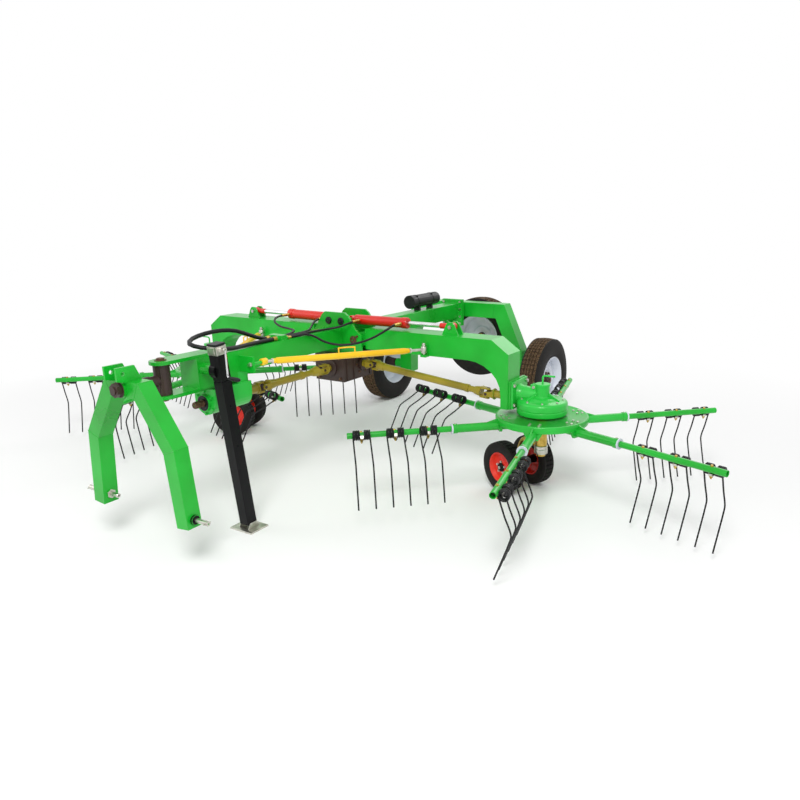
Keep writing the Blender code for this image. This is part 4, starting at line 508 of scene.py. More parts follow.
def wires(name, paths, radius, material, body, replaces=(), closed=False):
    """Round wires or bent rods along the given lines, as one mesh."""
    thing = line_object(name + "_line", paths, radius, closed)
    bpy.context.view_layer.update()
    mesh = bpy.data.meshes.new_from_object(thing.evaluated_get(bpy.context.evaluated_depsgraph_get()))
    curve = thing.data
    bpy.data.objects.remove(thing, do_unlink=True)
    bpy.data.curves.remove(curve)
    bm = bmesh.new()
    bm.from_mesh(mesh)
    bmesh.ops.remove_doubles(bm, verts=bm.verts, dist=0.00002)
    bmesh.ops.recalc_face_normals(bm, faces=bm.faces)
    bm.to_mesh(mesh)
    bm.free()
    return settle(name, mesh, material, body, replaces, 0.0)


# Hoses and their fittings

def lay_hoses():
    nuts, ferrules = meshes(2)
    for name, diameter, steps, route in HOSES:
        line = smooth_line(route, steps)
        piece = line_object(name + "_run", [line], diameter / 2)
        piece.data.materials.append(HOSE_RUBBER)
        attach(piece, "frame")
        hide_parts(name)
        for end, inward in ((line[0], line[1]), (line[-1], line[-2])):
            way = (inward - end).normalized()
            bar(ferrules, end + way * 0.011, end + way * 0.034, diameter / 2 + 0.0024)
            bar(nuts, end, end + way * 0.012, diameter / 2 + 0.0042, sides=6)
    make(nuts, "hose_nuts", YELLOW_ZINC, "frame", edge=0.0008)
    make(ferrules, "hose_ferrules", YELLOW_ZINC, "frame", edge=0.0008)


# Wheels

def tyre(name, centre, axis, radius, rim, width, grooves, steps, body, replaces, dusty=1):
    """A tyre with grooves round its tread and a short cut across every third part of each rib."""
    centre, axis, high = Vector(centre), Vector(axis), radius - rim
    deep, gap, crown, tread = 0.04 * high + 0.002, width * 0.016, 0.035 * high, 0.37 * width
    wall = [(-across * width, rim + up * high) for across, up in TYRE_WALL]
    stops = [-tread]
    for i in range(grooves):
        middle = -tread + 2 * tread * (i + 1) / (grooves + 1)
        stops += [middle - gap, middle + gap]
    stops.append(tread)
    profile = list(wall)
    for i, across in enumerate(stops):
        top = radius - crown * (across / tread) ** 2
        if 0 < i < len(stops) - 1:
            low = (across + gap * 0.3 if i % 2 else across - gap * 0.3, top - deep)
            profile += [(across, top), low] if i % 2 else [low, (across, top)]
        else:
            profile.append((across, top))
    profile += [(-across, up) for across, up in reversed(wall)]
    bm = bmesh.new()
    lathe(bm, profile, centre, axis, steps)
    bmesh.ops.recalc_face_normals(bm, faces=bm.faces)
    ribs = []
    ground = radius - crown - deep * 0.4
    first = axis.orthogonal().normalized()
    second = axis.cross(first)
    for face in bm.faces:
        middle = face.calc_center_median() - centre
        out = middle - axis * middle.dot(axis)
        if out.length > ground and abs(middle.dot(axis)) < tread and face.calc_area() > LEAST_RIB:
            face.material_index = dusty
            part = int(turn_round(out, first, second) / tau * steps + 0.5)
            if part % 3 == 0 and abs(face.normal.dot(out.normalized())) > 0.9:
                ribs.append(face)
    bmesh.ops.inset_individual(bm, faces=ribs, thickness=gap * 0.35, depth=-deep * 0.6)
    piece = make(bm, name, TYRE, body, replaces)
    piece.data.materials.append(TREAD)
    return piece


def turn_round(out, first, second):
    """How far round the axle a point lies, from 0 to a full turn."""
    turn = out.angle(first)
    return turn if out.dot(second) >= 0 else tau - turn


def road_rim(name, centre, axis, body, spare=False):
    """Pressed steel rim of a road wheel: the barrel, the dished disc with its nuts, and the hub."""
    centre, axis = Vector(centre), Vector(axis)
    bm, hub, nuts = meshes(3)
    lathe(bm, [(-0.1, 0.243), (-0.1, 0.236), (-0.085, 0.228), (-0.05, 0.212), (0.03, 0.208), (0.065, 0.222),
               (0.09, 0.231), (0.101, 0.237), (0.103, 0.244), (0.097, 0.247), (0.09, 0.241), (0.07, 0.236),
               (0.03, 0.217), (-0.05, 0.22), (-0.088, 0.238), (-0.093, 0.246)], centre, axis, 96)
    lathe(bm, [(0.005, 0.212), (0.022, 0.2), (0.036, 0.17), (0.042, 0.14), (0.04, 0.112), (0.026, 0.094),
               (0.026, 0.03), (0.018, 0.03), (0.018, 0.098), (0.032, 0.114), (0.034, 0.14), (0.028, 0.166),
               (0.014, 0.195), (-0.003, 0.21)], centre, axis, 96)
    make(bm, name + "_rim", RIM_WHITE, body)
    if spare:
        lathe(hub, [(-0.01, 0.02), (-0.01, 0.042), (0.03, 0.042), (0.034, 0.038), (0.037, 0.02)],
              centre, axis, 48)
    else:
        lathe(hub, [(-0.1, 0.024), (-0.1, 0.045), (-0.03, 0.052), (0.016, 0.062), (0.03, 0.062),
                    (0.034, 0.046), (0.068, 0.041), (0.074, 0.036), (0.0765, 0.012), (0.0765, 0.006),
                    (-0.02, 0.006)], centre, axis, 48)
        bar(nuts, centre + axis * 0.07, centre + axis * 0.0825, 0.02, sides=6)
    for out in round_about(6, axis, first=axis.orthogonal().normalized()):
        bolt(nuts, centre + out * 0.079 + axis * 0.026, axis, 0.022, 0.016)
    make(hub, name + "_hub", BROWN, body)
    make(nuts, name + "_nuts", RUST, body)


def road_wheels():
    across, along, up = ROAD_WHEEL
    for side, s in SIDES:
        centre, body = (s * across, along, up), "rear_wheel_" + side
        tyre("road_tyre_" + side, centre, X * s, *ROAD_TYRE, body, [body])
        road_rim("road_wheel_" + side, centre, X * s, body)
    tyre("spare_tyre", SPARE_WHEEL, Y, *ROAD_TYRE, "frame", ["spare_wheel"])
    road_rim("spare", SPARE_WHEEL, Y, "frame", spare=True)


def castors():
    """Twin castor wheels with red rims, and the swivelling column that carries them."""
    for side, s in SIDES:
        trail, axle = level_ways(CASTOR_TURN if s > 0 else pi - CASTOR_TURN)
        centre = Vector((s * ROTOR_X, ROTOR_Y, 0))
        hub = centre + trail * CASTOR_TRAIL + Z * CASTOR_Z
        for label, way in (("outer", 1), ("inner", -1)):
            name, body = f"{side}_{label}", "castor_wheels_" + side
            middle, out = hub + axle * way * CASTOR_TRACK_HALF, axle * way
            tyre("castor_tyre_" + name, middle, out, *CASTOR_TYRE, body, ["castor_wheel_" + name], dusty=0)
            bm = bmesh.new()
            lathe(bm, [(-0.046, 0.118), (-0.046, 0.111), (-0.03, 0.106), (0.004, 0.1), (0.012, 0.06),
                       (0.02, 0.052), (0.02, 0.02), (0.026, 0.02), (0.026, 0.054), (0.02, 0.062),
                       (0.015, 0.098), (0.036, 0.108), (0.045, 0.112), (0.048, 0.118), (0.043, 0.121),
                       (0.03, 0.113), (0.0, 0.106), (-0.04, 0.116)], middle, out)
            make(bm, "castor_rim_" + name, RIM_RED, body)
            bm, nuts = meshes(2)
            lathe(bm, [(-0.044, 0.017), (-0.044, 0.03), (0.024, 0.034), (0.032, 0.034), (0.041, 0.028),
                       (0.044, 0.024), (0.044, 0.012), (0.0, 0.012)], middle, out, 40)
            bar(nuts, middle + out * 0.036, middle + out * 0.05, 0.0135, sides=6)
            for spoke in round_about(5, out):
                bolt(nuts, middle + spoke * 0.044 + out * 0.026, out, 0.016, 0.008)
            make(bm, "castor_hub_" + name, BLACK, body)
            make(nuts, "castor_nuts_" + name, ZINC, body)
        body = "castor_" + side
        bm = bmesh.new()
        ring(bm, 0.0345, [(0.405, 0.043), (0.52, 0.043), (0.523, 0.046), (0.53, 0.046)], centre, Z, 48)
        bar(bm, hub - axle * 0.06, hub + axle * 0.06, 0.03)
        make(bm, "castor_sleeve_" + side, YELLOW_ZINC, body, ["castor_frame_" + side])
        bm = bmesh.new()
        ring(bm, 0.0345, [(0.35, 0.048), (0.353, 0.05), (0.385, 0.05), (0.388, 0.047), (0.396, 0.047),
                          (0.399, 0.05), (0.41, 0.05), (0.413, 0.047)], centre, Z, 48)
        make(bm, "castor_collar_" + side, ZINC, body)
        path = [centre + Z * 0.41 + trail * back for back in (0.04, 0.1, 0.15)]
        path += [centre + trail * back + Z * up for back, up in ((0.195, 0.395), (0.226, 0.33), (0.24, 0.26))]
        wires("castor_bar_" + side, [smooth_line([*path, hub], 4)], 0.027, YELLOW_ZINC, body)
        dress("castor_axle_" + side, ZINC, 0.001)


# Rotors

def arm_place(s, i):
    """Where one tine arm lies: turned about the rotor's axis, and rolled by its cam over the swath."""
    turn = ROTOR_PHASE + tau * i / ARMS
    roll = s * CAM_LIFT * max(0, -s * cos(turn))
    return (Matrix.Translation((s * ROTOR_X, ROTOR_Y, ARM_Z)) @ Matrix.Rotation(turn, 4, "Z")
            @ Matrix.Rotation(roll, 4, "X"))


def tine_line(middle, lag):
    """One double tine in a single wire: leg, coil, bridge under its clamp, coil, leg."""
    halves = []
    pitch, outer, steps = 2 * WIRE + 0.0004, LEG_SPACING / 2, COIL_TURNS * COIL_STEPS
    for way in (-1, 1):
        half = []
        for k in range(steps + 1):
            left = COIL_TURNS * (1 - k / steps)
            turn = COIL_END - tau * left
            half.append(Vector((middle + way * (outer - pitch * left),
                                lag * (COIL_OUT + COIL_RADIUS * cos(turn)),
                                COIL_RADIUS * sin(turn) - COIL_DROP)))
        leg = [Vector((middle + way * outer, lag * behind, -down)) for behind, down in LEG_ROUTE]
        halves.append(half + smooth_line([half[-1], *leg], 3)[1:])
    return halves[0][::-1] + halves[1]


def tine_arms():
    for side, s in SIDES:
        body = "rotor_" + side
        for i in range(ARMS):
            place, name = arm_place(s, i), f"{side}_{i + 1}"
            bm = bmesh.new()
            ring(bm, 0.012, [(ARM_START, ARM_RADIUS), (ARM_TIP - 0.001, ARM_RADIUS), (ARM_TIP, 0.0212),
                             (ARM_TIP, ARM_BORE), (ARM_TIP - ARM_PLUG, ARM_BORE)], (0, 0, 0), X, 32)
            make(bm, "arm_tube_" + name, GREEN, body, ["tine_arm_" + name], move=place)
            paths, saddles, nuts = [], bmesh.new(), bmesh.new()
            bar(saddles, (ARM_TIP - ARM_PLUG, 0, 0), (ARM_TIP - ARM_PLUG + 0.002, 0, 0), 0.0185)
            for k in range(TINES):
                middle = TINE_FIRST + LEG_SPACING / 2 + k * TINE_PITCH
                paths.append([place @ point for point in tine_line(middle, s)])
                block(saddles, (middle, s * 0.013, -0.0375), (0.03, 0.05, 0.004))
                block(saddles, (middle, s * 0.036, -0.028), (0.03, 0.004, 0.022))
                block(saddles, (middle, s * -0.012, -0.032), (0.026, 0.004, 0.014))
                bolt(nuts, (middle, 0, 0.0215), Z, 0.017, 0.006, 0.002)
                bolt(nuts, (middle, 0, -0.0395), -Z, 0.019, 0.01, 0.002)
                bar(nuts, (middle, 0, -0.05), (middle, 0, -0.06), 0.005, sides=12)
            wires("tines_" + name, paths, WIRE, SPRING, body)
            make(saddles, "tine_saddles_" + name, ZINC, body, edge=0.001, move=place)
            make(nuts, "tine_nuts_" + name, YELLOW_ZINC, body, move=place)


def rotor_discs():
    for side, s in SIDES:
        centre, body = Vector((s * ROTOR_X, ROTOR_Y, 0)), "rotor_" + side
        at = centre + Z * ARM_Z
        bm, rings, bolts = meshes(3)
        ring(bm, 0.036, [(DISC_TOP, 0.322), (0.652, 0.327), (0.652, 0.334), (0.649, 0.339), (0.644, 0.342),
                         (0.606, 0.342), (0.603, 0.339), (0.603, 0.331), (0.632, 0.328), (0.637, 0.32),
                         (0.637, 0.135), (0.63, 0.13), (0.556, 0.13), (0.553, 0.127)], centre, Z, 120)
        for i in range(ARMS):
            out, along = level_ways(ROTOR_PHASE + tau * i / ARMS)
            lathe(bm, [(0.1, 0.026), (0.1, 0.031), (0.64, 0.031), (0.643, 0.0355), (0.675, 0.0355),
                       (0.675, 0.0225), (0.64, 0.0225)], at, out, 36)
            ring(rings, 0.0225, [(0.6745, 0.036), (0.6765, 0.038), (0.6845, 0.038), (0.6865, 0.036)],
                 at, out, 36)
            slab(bm, [centre + out * 0.314 + along * a + Z * z for a, z in (
                (-0.038, 0.5525), (0.038, 0.5525), (0.07, 0.6072), (-0.07, 0.6072))], out * 0.02)
            slab(bm, [centre + out * o + along * -0.005 + Z * z for o, z in (
                (0.334, 0.604), (0.334, 0.62), (0.42, 0.619), (0.336, 0.644))], along * 0.01)
            for a, o in ((0.034, 0.303), (-0.034, 0.303), (0.036, 0.262), (-0.036, 0.262)):
                bolt(bolts, centre + out * o + along * a + Z * DISC_TOP, Z, 0.017, 0.006, 0.002)
            bolt(bolts, at + out * 0.655 + Z * 0.036, Z, 0.012, 0.004, 0.001)
        make(bm, "rotor_plate_" + side, DISC_GREEN, body, ["rotor_disc_" + side])
        make(rings, "socket_rings_" + side, RIM_WHITE, body)
        make(bolts, "rotor_plate_bolts_" + side, ZINC, body)


def rotor_gearboxes():
    """Cast cases with their ribs, cover bolts and height cranks, and the columns under them."""
    for side, s in SIDES:
        centre, body, away = Vector((s * ROTOR_X, ROTOR_Y, 0)), "arm_" + side, X * s
        face = s * GEARCASE_FACE
        bm, bolts, column = meshes(3)
        lathe(bm, [(0.6652, 0.036), (0.6652, 0.181), (0.668, 0.186), (0.673, 0.187), (0.7, 0.187),
                   (0.703, 0.184), (0.706, 0.184), (0.709, 0.187), (0.742, 0.187), (0.752, 0.184),
                   (0.76, 0.177), (0.765, 0.166), (0.7665, 0.13), (0.77, 0.115), (0.778, 0.107),
                   (0.783, 0.095), (0.785, 0.07), (0.788, 0.058), (0.793, 0.054), (0.866, 0.052),
                   (0.871, 0.055), (0.881, 0.056), (0.885, 0.052), (0.885, 0.012), (0.8, 0.012),
                   (0.78, 0.036)], centre, Z, 96)
        bar(bm, centre + Z * 0.78, centre + Z * 0.884, 0.02)
        block(bm, (face + s * 0.0087, ROTOR_Y, 0.795), (0.0172, 0.252, 0.202))
        ring(bm, 0.03, [(0.0, 0.08), (0.014, 0.078), (0.024, 0.069), (0.05, 0.0655), (0.19, 0.046)],
             (face + s * 0.005, ROTOR_Y, 0.789), away, 48)
        for turn in (0, CASE_RIB_TURN, -CASE_RIB_TURN):
            out = Matrix.Rotation(turn, 3, "Z") @ away
            along = Z.cross(out)
            slab(bm, [centre + out * o + along * -0.0075 + Z * z for o, z in (
                (0.03, 0.762), (0.135, 0.762), (0.132, 0.774), (0.058, 0.815), (0.03, 0.85))], along * 0.015)
        for way in (1, -1):
            block(bm, centre + Vector((s * -0.055, way * 0.02, 0.85)), (0.06, 0.014, 0.05))
        make(bm, "rotor_gearcase_" + side, CAST_GREEN, body, ["rotor_gearbox_" + side], edge=0.0025)
        crank = smooth_line([centre + away * out + Z * up for out, up in HEIGHT_CRANK], 4)
        wires("height_crank_" + side, [crank], 0.0068, CAST_GREEN, body)
        for out in round_about(8, "Z", 0.5, X):
            bolt(bolts, centre + out * 0.15 + Z * CROWN_Z, Z, 0.015, 0.007, 0.002)
        for y, z in ((-0.068, 0.722), (-0.068, 0.868), (0.148, 0.722), (0.148, 0.868)):
            bolt(bolts, (face + s * 0.0174, y, z), away)
            if y > 0:
                bolt(bolts, (s * 1.56, y, z), -away)
        pin = centre + Vector((s * -0.06, 0, 0.855))
        bar(bolts, pin - Y * 0.034, pin + Y * 0.034, 0.006)
        bolt(bolts, pin - Y * 0.026, -Y, 0.017, 0.008)
        make(bolts, "rotor_gearcase_bolts_" + side, ZINC, body)
        bar(column, centre + Z * 0.33, centre + Z * 0.668, 0.034, sides=40)
        make(column, "rotor_column_" + side, YELLOW_ZINC, body, edge=0.003)


# Shafts and their joints

def yoke(bm, caps, cross, along, pin, grow=0.0):
    """Two rounded lugs on a round hub, with a bearing cap in each lug."""
    cross, along, pin = Vector(cross), Vector(along).normalized(), Vector(pin).normalized()
    across, half, foot = along.cross(pin), YOKE_WIDTH / 2 + grow, YOKE_REACH + 0.004
    outline = [along * foot + across * (half + 0.006), along * 0.03 + across * half]
    outline += [across * half * cos(pi * i / 14) - along * half * sin(pi * i / 14) for i in range(15)]
    outline += [along * 0.03 - across * half, along * foot - across * (half + 0.006)]
    for way in (1, -1):
        inner = cross + pin * way * (YOKE_GAP / 2 - grow)
        slab(bm, [inner + point for point in outline], pin * way * (YOKE_LUG + 2 * grow))
        bar(caps, inner + pin * way * 0.01, inner + pin * way * (YOKE_LUG + 0.0015 + 2 * grow), 0.0115)
    edge = YOKE_GAP / 2 + YOKE_LUG + grow
    ring(bm, 0.005, [(YOKE_REACH - grow, edge - 0.004), (YOKE_REACH + 0.003, edge),
                     (HUB_END - 0.003 + grow, edge), (HUB_END + grow, edge - 0.004)], cross, along)


def joint_cross(bm, cross, first, second, reach, second_reach):
    """The cross between two yokes: a pin each way on a round body."""
    for pin, far in ((first, reach), (second, second_reach)):
        pin = Vector(pin).normalized()
        bar(bm, Vector(cross) - pin * far, Vector(cross) + pin * far, CROSS_RADIUS)
    bmesh.ops.create_uvsphere(bm, u_segments=20, v_segments=12, radius=0.018,
                              matrix=Matrix.Translation(cross))


def neck(bm, cross, along, end_radius):
    """The step from a yoke's hub down to its tube."""
    ring(bm, 0.01, [(HUB_END - 0.004, 0.037), (HUB_END + 0.016, 0.0368), (HUB_END + 0.03, 0.0345),
                    (HUB_END + 0.05, end_radius + 0.004)], cross, along)


def side_shafts():
    for side, s in SIDES:
        inner, outer = (Vector((s * x, y, z)) for x, y, z in (INNER_JOINT, OUTER_JOINT))
        run = (outer - inner).normalized()
        pin = run.cross(Y)
        end = (outer - inner).length - HUB_END - SHAFT_BARE
        guard, slider = meshes(2)
        ring(guard, 0.0255, [(HUB_END, SHAFT_TUBE), (end - 0.03, SHAFT_TUBE), (end - 0.028, 0.0315),
                             (end - 0.002, 0.0315), (end, 0.03)], inner, run)
        bar(slider, inner + run * (HUB_END + 0.066), outer - run * HUB_END, SHAFT_SLIDER)
        through, within = YOKE_GAP / 2 + YOKE_LUG + 0.001, YOKE_GAP / 2 - 0.0003
        for bm, name, label, part, cross, way, radius, reach in (
                (guard, "shaft_guard_", "inner", "outer", inner, run, SHAFT_TUBE, through),
                (slider, "shaft_slider_", "outer", "inner", outer, -run, SHAFT_SLIDER, within)):
            body, caps = f"side_shaft_{part}_{side}", bmesh.new()
            yoke(bm, caps, cross, way, pin)
            neck(bm, cross, way, radius)
            make(bm, name + side, OLIVE, body, [f"side_shaft_{part}_tube_{side}"])
            joint_cross(caps, cross, pin, Y, PIN_REACH, reach)
            make(caps, f"shaft_{label}_cross_{side}", BROWN, body)
        for label, cross, way, foot, body in (("gearbox", inner, -s, 0.17, "frame"),
                                              ("arm", outer, s, 1.5, "arm_" + side)):
            bm, caps = meshes(2)
            yoke(bm, caps, cross, X * way, Y, COVER)
            bar(bm, cross + X * way * YOKE_REACH, (s * foot, 0, cross.z), 0.0306)
            make(bm, f"{label}_yoke_{side}", OLIVE, body)
            make(caps, f"{label}_yoke_caps_{side}", BROWN, body)


def front_shaft():
    bm, caps = meshes(2)
    for face, y, way, radius in ((FRONT_FACE, FRONT_CROSS, 1, SHAFT_TUBE),
                                 (REAR_FACE, REAR_CROSS, -1, SHAFT_SLIDER)):
        middle = Vector((0, y, DRIVE_Z))
        yoke(bm, caps, middle, Y * -way, Z)
        yoke(bm, caps, middle, Y * way, X)
        joint_cross(caps, middle, Z, X, PIN_REACH, PIN_REACH)
        neck(bm, middle, Y * way, radius)
        ring(bm, 0.01, [(0, 0.03), (0.01, 0.032), (abs(face - y) - HUB_END, 0.034)], (0, face, DRIVE_Z),
             Y * way)
    end = SHAFT_STEP - FRONT_CROSS
    ring(bm, 0.02, [(HUB_END, SHAFT_TUBE), (end - 0.03, SHAFT_TUBE), (end - 0.028, 0.0325),
                    (end - 0.002, 0.0325), (end, 0.031)], (0, FRONT_CROSS, DRIVE_Z), Y)
    bar(bm, (0, SHAFT_STEP - 0.01, DRIVE_Z), (0, REAR_CROSS - HUB_END, DRIVE_Z), SHAFT_SLIDER)
    make(bm, "front_shaft_guard", OLIVE, "front_shaft", ["front_shaft"])
    make(caps, "front_shaft_crosses", BROWN, "front_shaft")


# Arms: braces, cylinders and pins

def braces():
    for side, s in SIDES:
        x, y, z = BRACE_END
        front, end, body = Vector((s * HINGE_X, BRACE_FRONT_Y, HINGE_Z)), Vector((s * x, y, z)), "arm_" + side
        run, span = (end - front).normalized(), (end - front).length
        bm, zinc = meshes(2)
        lathe(bm, [(0.066, 0.011), (0.066, 0.0165), (0.072, 0.018), (0.084, 0.018), (0.088, 0.0225),
                   (0.112, 0.023), (span - 0.162, 0.023), (span - 0.14, 0.02), (span - 0.122, 0.0165),
                   (span - 0.118, 0.011)], front, run, 40)
        eye(bm, front, Y, 0.0125, 0.024, 0.024, 0.003)
        make(bm, "brace_tube_" + side, YELLOW, body, ["brace_" + side])
        for pin, way, rod, nut in ((front, run, 0.075, 0.052), (end, -run, 0.125, 0.104)):
            bar(zinc, pin + way * 0.02, pin + way * rod, 0.011)
            bar(zinc, pin + way * nut, pin + way * (nut + 0.014), 0.02, sides=6)
        eye(zinc, end, Z, 0.0125, 0.024, 0.024, 0.003)
        bar(zinc, end - Z * 0.035, end + Z * 0.0485, 0.0125)
        bolt(zinc, end + Z * 0.036, Z, 0.026, 0.012)
        make(zinc, "brace_ends_" + side, ZINC, body, edge=0.0008)
        low, high = front + run * span * 0.445, front + run * span * 0.545
        handle = [low + Z * 0.018, low + Z * 0.05, low + Z * 0.058 + run * 0.008,
                  high + Z * 0.058 - run * 0.008, high + Z * 0.05, high + Z * 0.018]
        wires("brace_handle_" + side, [smooth_line(handle, 4)], 0.0052, YELLOW, body)


def cylinders():
    for side, s in SIDES:
        base, tip = (Vector((s * x, y, z)) for x, y, z in (BARREL_PIN, ROD_PIN))
        run = (tip - base).normalized()
        bm, fittings = meshes(2)
        ring(bm, 0.012, [(0.045, 0.036), (0.048, 0.0395), (0.06, 0.0405), (0.512, 0.0405), (0.515, 0.0445),
                         (0.558, 0.0445), (0.561, 0.042), (0.5655, 0.04), (0.5655, 0.0188), (0.2, 0.0188)],
             base, run, 56)
        eye(bm, base, Y, 0.0185, 0.02, 0.03, 0.002)
        bar(bm, base + run * 0.022, base + run * 0.05, 0.015)
        for along in PORTS:
            port = base + run * along
            bar(bm, port - Y * 0.03, port - Y * 0.052, 0.0145)
            bar(fittings, port - Y * 0.05, port - Y * 0.066, 0.0142, sides=6)
            bar(fittings, port - Y * 0.06, port - Y * 0.108, 0.0112)
            bar(fittings, port - Y * 0.082, port - Y * 0.098, 0.0138, sides=6)
        make(bm, "lift_barrel_" + side, RED, "barrel_" + side, ["cylinder_barrel_" + side])
        make(fittings, "lift_fittings_" + side, YELLOW_ZINC, "barrel_" + side, edge=0.0006)
        rod, end, pin = meshes(3)
        bar(rod, base + run * 0.467, tip - run * 0.1, 0.0175, sides=40)
        make(rod, "lift_rod_" + side, CHROME, "rod_" + side, ["cylinder_rod_" + side])
        ring(end, 0.01, [(0.022, 0.021), (0.095, 0.0225), (0.107, 0.0225), (0.11, 0.02)], tip, -run, 36)
        eye(end, tip, Y, 0.0145, 0.02, 0.03, 0.002)
        make(end, "lift_rod_end_" + side, RED, "rod_" + side)
        for way in (1, -1):
            bar(pin, tip + Y * way * 0.04, tip + Y * way * 0.057, 0.0147)
            bolt(pin, tip + Y * way * 0.0445, Y * way, 0.024, 0.01)
        make(pin, "rod_pin_" + side, ZINC, "arm_" + side, edge=0.0008)


def housing_pins():
    ends, caps = meshes(2)
    for _, s in SIDES:
        for way in (1, -1):
            hinge = Vector((s * HINGE_X, way * HOUSING_FACE, HINGE_Z))
            base = Vector((s * BARREL_PIN[0], way * HOUSING_FACE, BARREL_PIN[2]))
            ring(ends, 0.005, [(-0.004, 0.034), (0.004, 0.034), (0.005, 0.0257), (0.011, 0.0257),
                               (0.0135, 0.022)], hinge, Y * way)
            bolt(ends, hinge + Vector((s * 0.04, 0, 0.03)), Y * way, 0.019, 0.008)
            ring(caps, 0.004, [(-0.004, 0.03), (0.008, 0.03), (0.013, 0.026), (0.0145, 0.018)], base, Y * way)
    make(ends, "hinge_pin_ends", RUST, "frame")
    make(caps, "base_pin_caps", PLASTIC, "frame")


# Hitch, jack and front of the machine

def hitch():
    """Lower hitch pins with their linch pins, the nut of the roll shaft, the yaw pin's ends and the welds."""
    pins, collar, nut, ends = meshes(4)
    for s, reach in ((1, 0.02), (-1, 0.075)):
        out = X * s
        outside, inside = (Vector((s * x, HEADSTOCK_Y, HITCH_PIN_Z)) for x in (LEG_OUTSIDE, LEG_INSIDE))
        ring(pins, 0.005, [(-0.0005, HITCH_PIN), (0.1205, HITCH_PIN), (0.1225, 0.0125)], outside, out, 36)
        ring(pins, 0.005, [(0.0, HITCH_PIN), (reach - 0.004, HITCH_PIN), (reach, 0.011)], inside, -out, 36)
        linch = outside + out * 0.108
        bar(pins, linch - Y * 0.027, linch + Y * 0.027, 0.0035, sides=12)
        bar(pins, linch - Z * 0.02, linch + Z * 0.02, 0.003, sides=12)
        ring(pins if s < 0 else collar, 0.012, [(-0.001, 0.0306), (0.011, 0.0306), (0.0145, 0.027)],
             outside, out, 36)
        bar(pins, inside + out * 0.014, inside - out * 0.001, 0.0306, sides=6)
    make(pins, "hitch_pins", ZINC, "headstock")
    make(collar, "hitch_collar", BLACK, "headstock")
    front = Vector((0, HEADSTOCK_Y - 0.065, ROLL_Z))
    ring(nut, 0.004, [(-0.0005, 0.049), (0.004, 0.049)], front, -Y)
    bar(nut, front - Y * 0.004, front - Y * 0.0365, 0.0445, 0.041, 6)
    bar(nut, front - Y * 0.03, front - Y * 0.044, 0.0245)
    ring(nut, 0.004, [(0, 0.0345), (0.012, 0.038), (0.07, 0.038), (0.074, 0.0345)], front + Y * 0.1305, Y)
    make(nut, "roll_nut", BROWN, "yaw_block", edge=0.0015)
    for z, way in ((1.217, 1), (0.973, -1)):
        ring(ends, 0.004, [(-0.002, 0.036), (0.004, 0.036), (0.006, 0.0246), (0.0125, 0.0246), (0.0155, 0.02)],
             (0, YAW_Y, z), Z * way)
    make(ends, "yaw_pin_ends", RUST, "yaw_block")
    beads = []
    for s in (1, -1):
        points = [Vector((s * x, HEADSTOCK_Y, z)) for x, z in LEG_LINE]
        for before, bend, after in zip(points, points[1:], points[2:]):
            first, second = (bend - before).normalized(), (after - bend).normalized()
            cut = (first + second).normalized().cross(Y)
            far = 0.05 / abs(cut.dot(first.cross(Y)))
            corners = ((1, 1), (1, -1), (-1, -1), (-1, 1))
            beads.append([bend + cut * far * a + Y * 0.05 * b for a, b in corners])
    wires("headstock_welds", beads, 0.0022, GREEN, "headstock", closed=True)


def jack_point(across, along, up):
    """A point on the jack, measured along its leaning tube."""
    return Vector((JACK_X + across, JACK_Y + along * cos(JACK_LEAN) - up * sin(JACK_LEAN),
                   up * cos(JACK_LEAN) + along * sin(JACK_LEAN)))


def jack():
    turn = Matrix.Rotation(JACK_LEAN, 3, "X").to_quaternion()
    foot, hub, flange = jack_point(0, 0, 0), jack_point(0.0415, 0, 1.277), jack_point(0, 0, 1.1349)
    sleeve, plate, band, cap, housing, grip, bolts = meshes(7)
    block(sleeve, jack_point(0, 0, 0.555), (JACK_TUBE, JACK_TUBE, 1.03), turn)
    make(sleeve, "jack_sleeve", BLACK, "jack_leg", ["jack_leg"], edge=0.004)
    block(plate, foot + Z * 0.0061, (0.2, 0.16, 0.012))
    for way in (1, -1):
        slab(plate, [foot + Vector((way * 0.041, y, z)) for y, z in (
            (-0.05, 0.011), (0.05, 0.011), (0.03, 0.05), (-0.03, 0.05))], X * way * 0.005)
    make(plate, "jack_foot", ZINC, "jack_leg", edge=0.0015)
    block(band, jack_point(0, 0, 1.272), (0.083, 0.083, 0.056), turn)
    block(band, jack_point(-0.002, -0.0415, 1.272), (0.05, 0.006, 0.046), turn)
    ring(band, 0.004, [(-0.002, 0.02), (0.004, 0.02), (0.006, 0.0145), (0.034, 0.0145), (0.036, 0.012)],
         hub, X, 32)
    make(band, "jack_band", ZINC, "frame", edge=0.0015)
    block(cap, jack_point(0, 0, 1.309), (JACK_TUBE, JACK_TUBE, 0.0135), turn)
    make(cap, "jack_cap", PLASTIC, "frame", edge=0.002)
    block(housing, jack_point(0, 0, 1.1585), (JACK_TUBE - 0.0005, JACK_TUBE - 0.0005, 0.173), turn)
    make(housing, "jack_housing", BLACK, "frame", edge=0.004)
    handle = smooth_line([hub + X * out - Z * down for out, down in JACK_HANDLE], 4)
    wires("jack_handle", [handle], 0.0065, CHROME, "frame", ["jack_crank"])
    lathe(grip, [(0.045, 0.004), (0.045, 0.011), (0.05, 0.0135), (0.09, 0.014), (0.125, 0.0135),
                 (0.136, 0.011), (0.142, 0.004)], hub - Z * 0.18, X, 28)
    make(grip, "jack_grip", PLASTIC, "frame")
    for out in round_about(4, "X", 0.5):
        bolt(bolts, Vector((0.2145, flange.y, flange.z)) + out * 0.043, X, 0.016, 0.008)
    for up in (0.62, 0.9):
        bar(bolts, jack_point(0.03, 0, up), jack_point(0.0445, 0, up), 0.007, sides=16)
    make(bolts, "jack_bolts", BLACK, "frame")


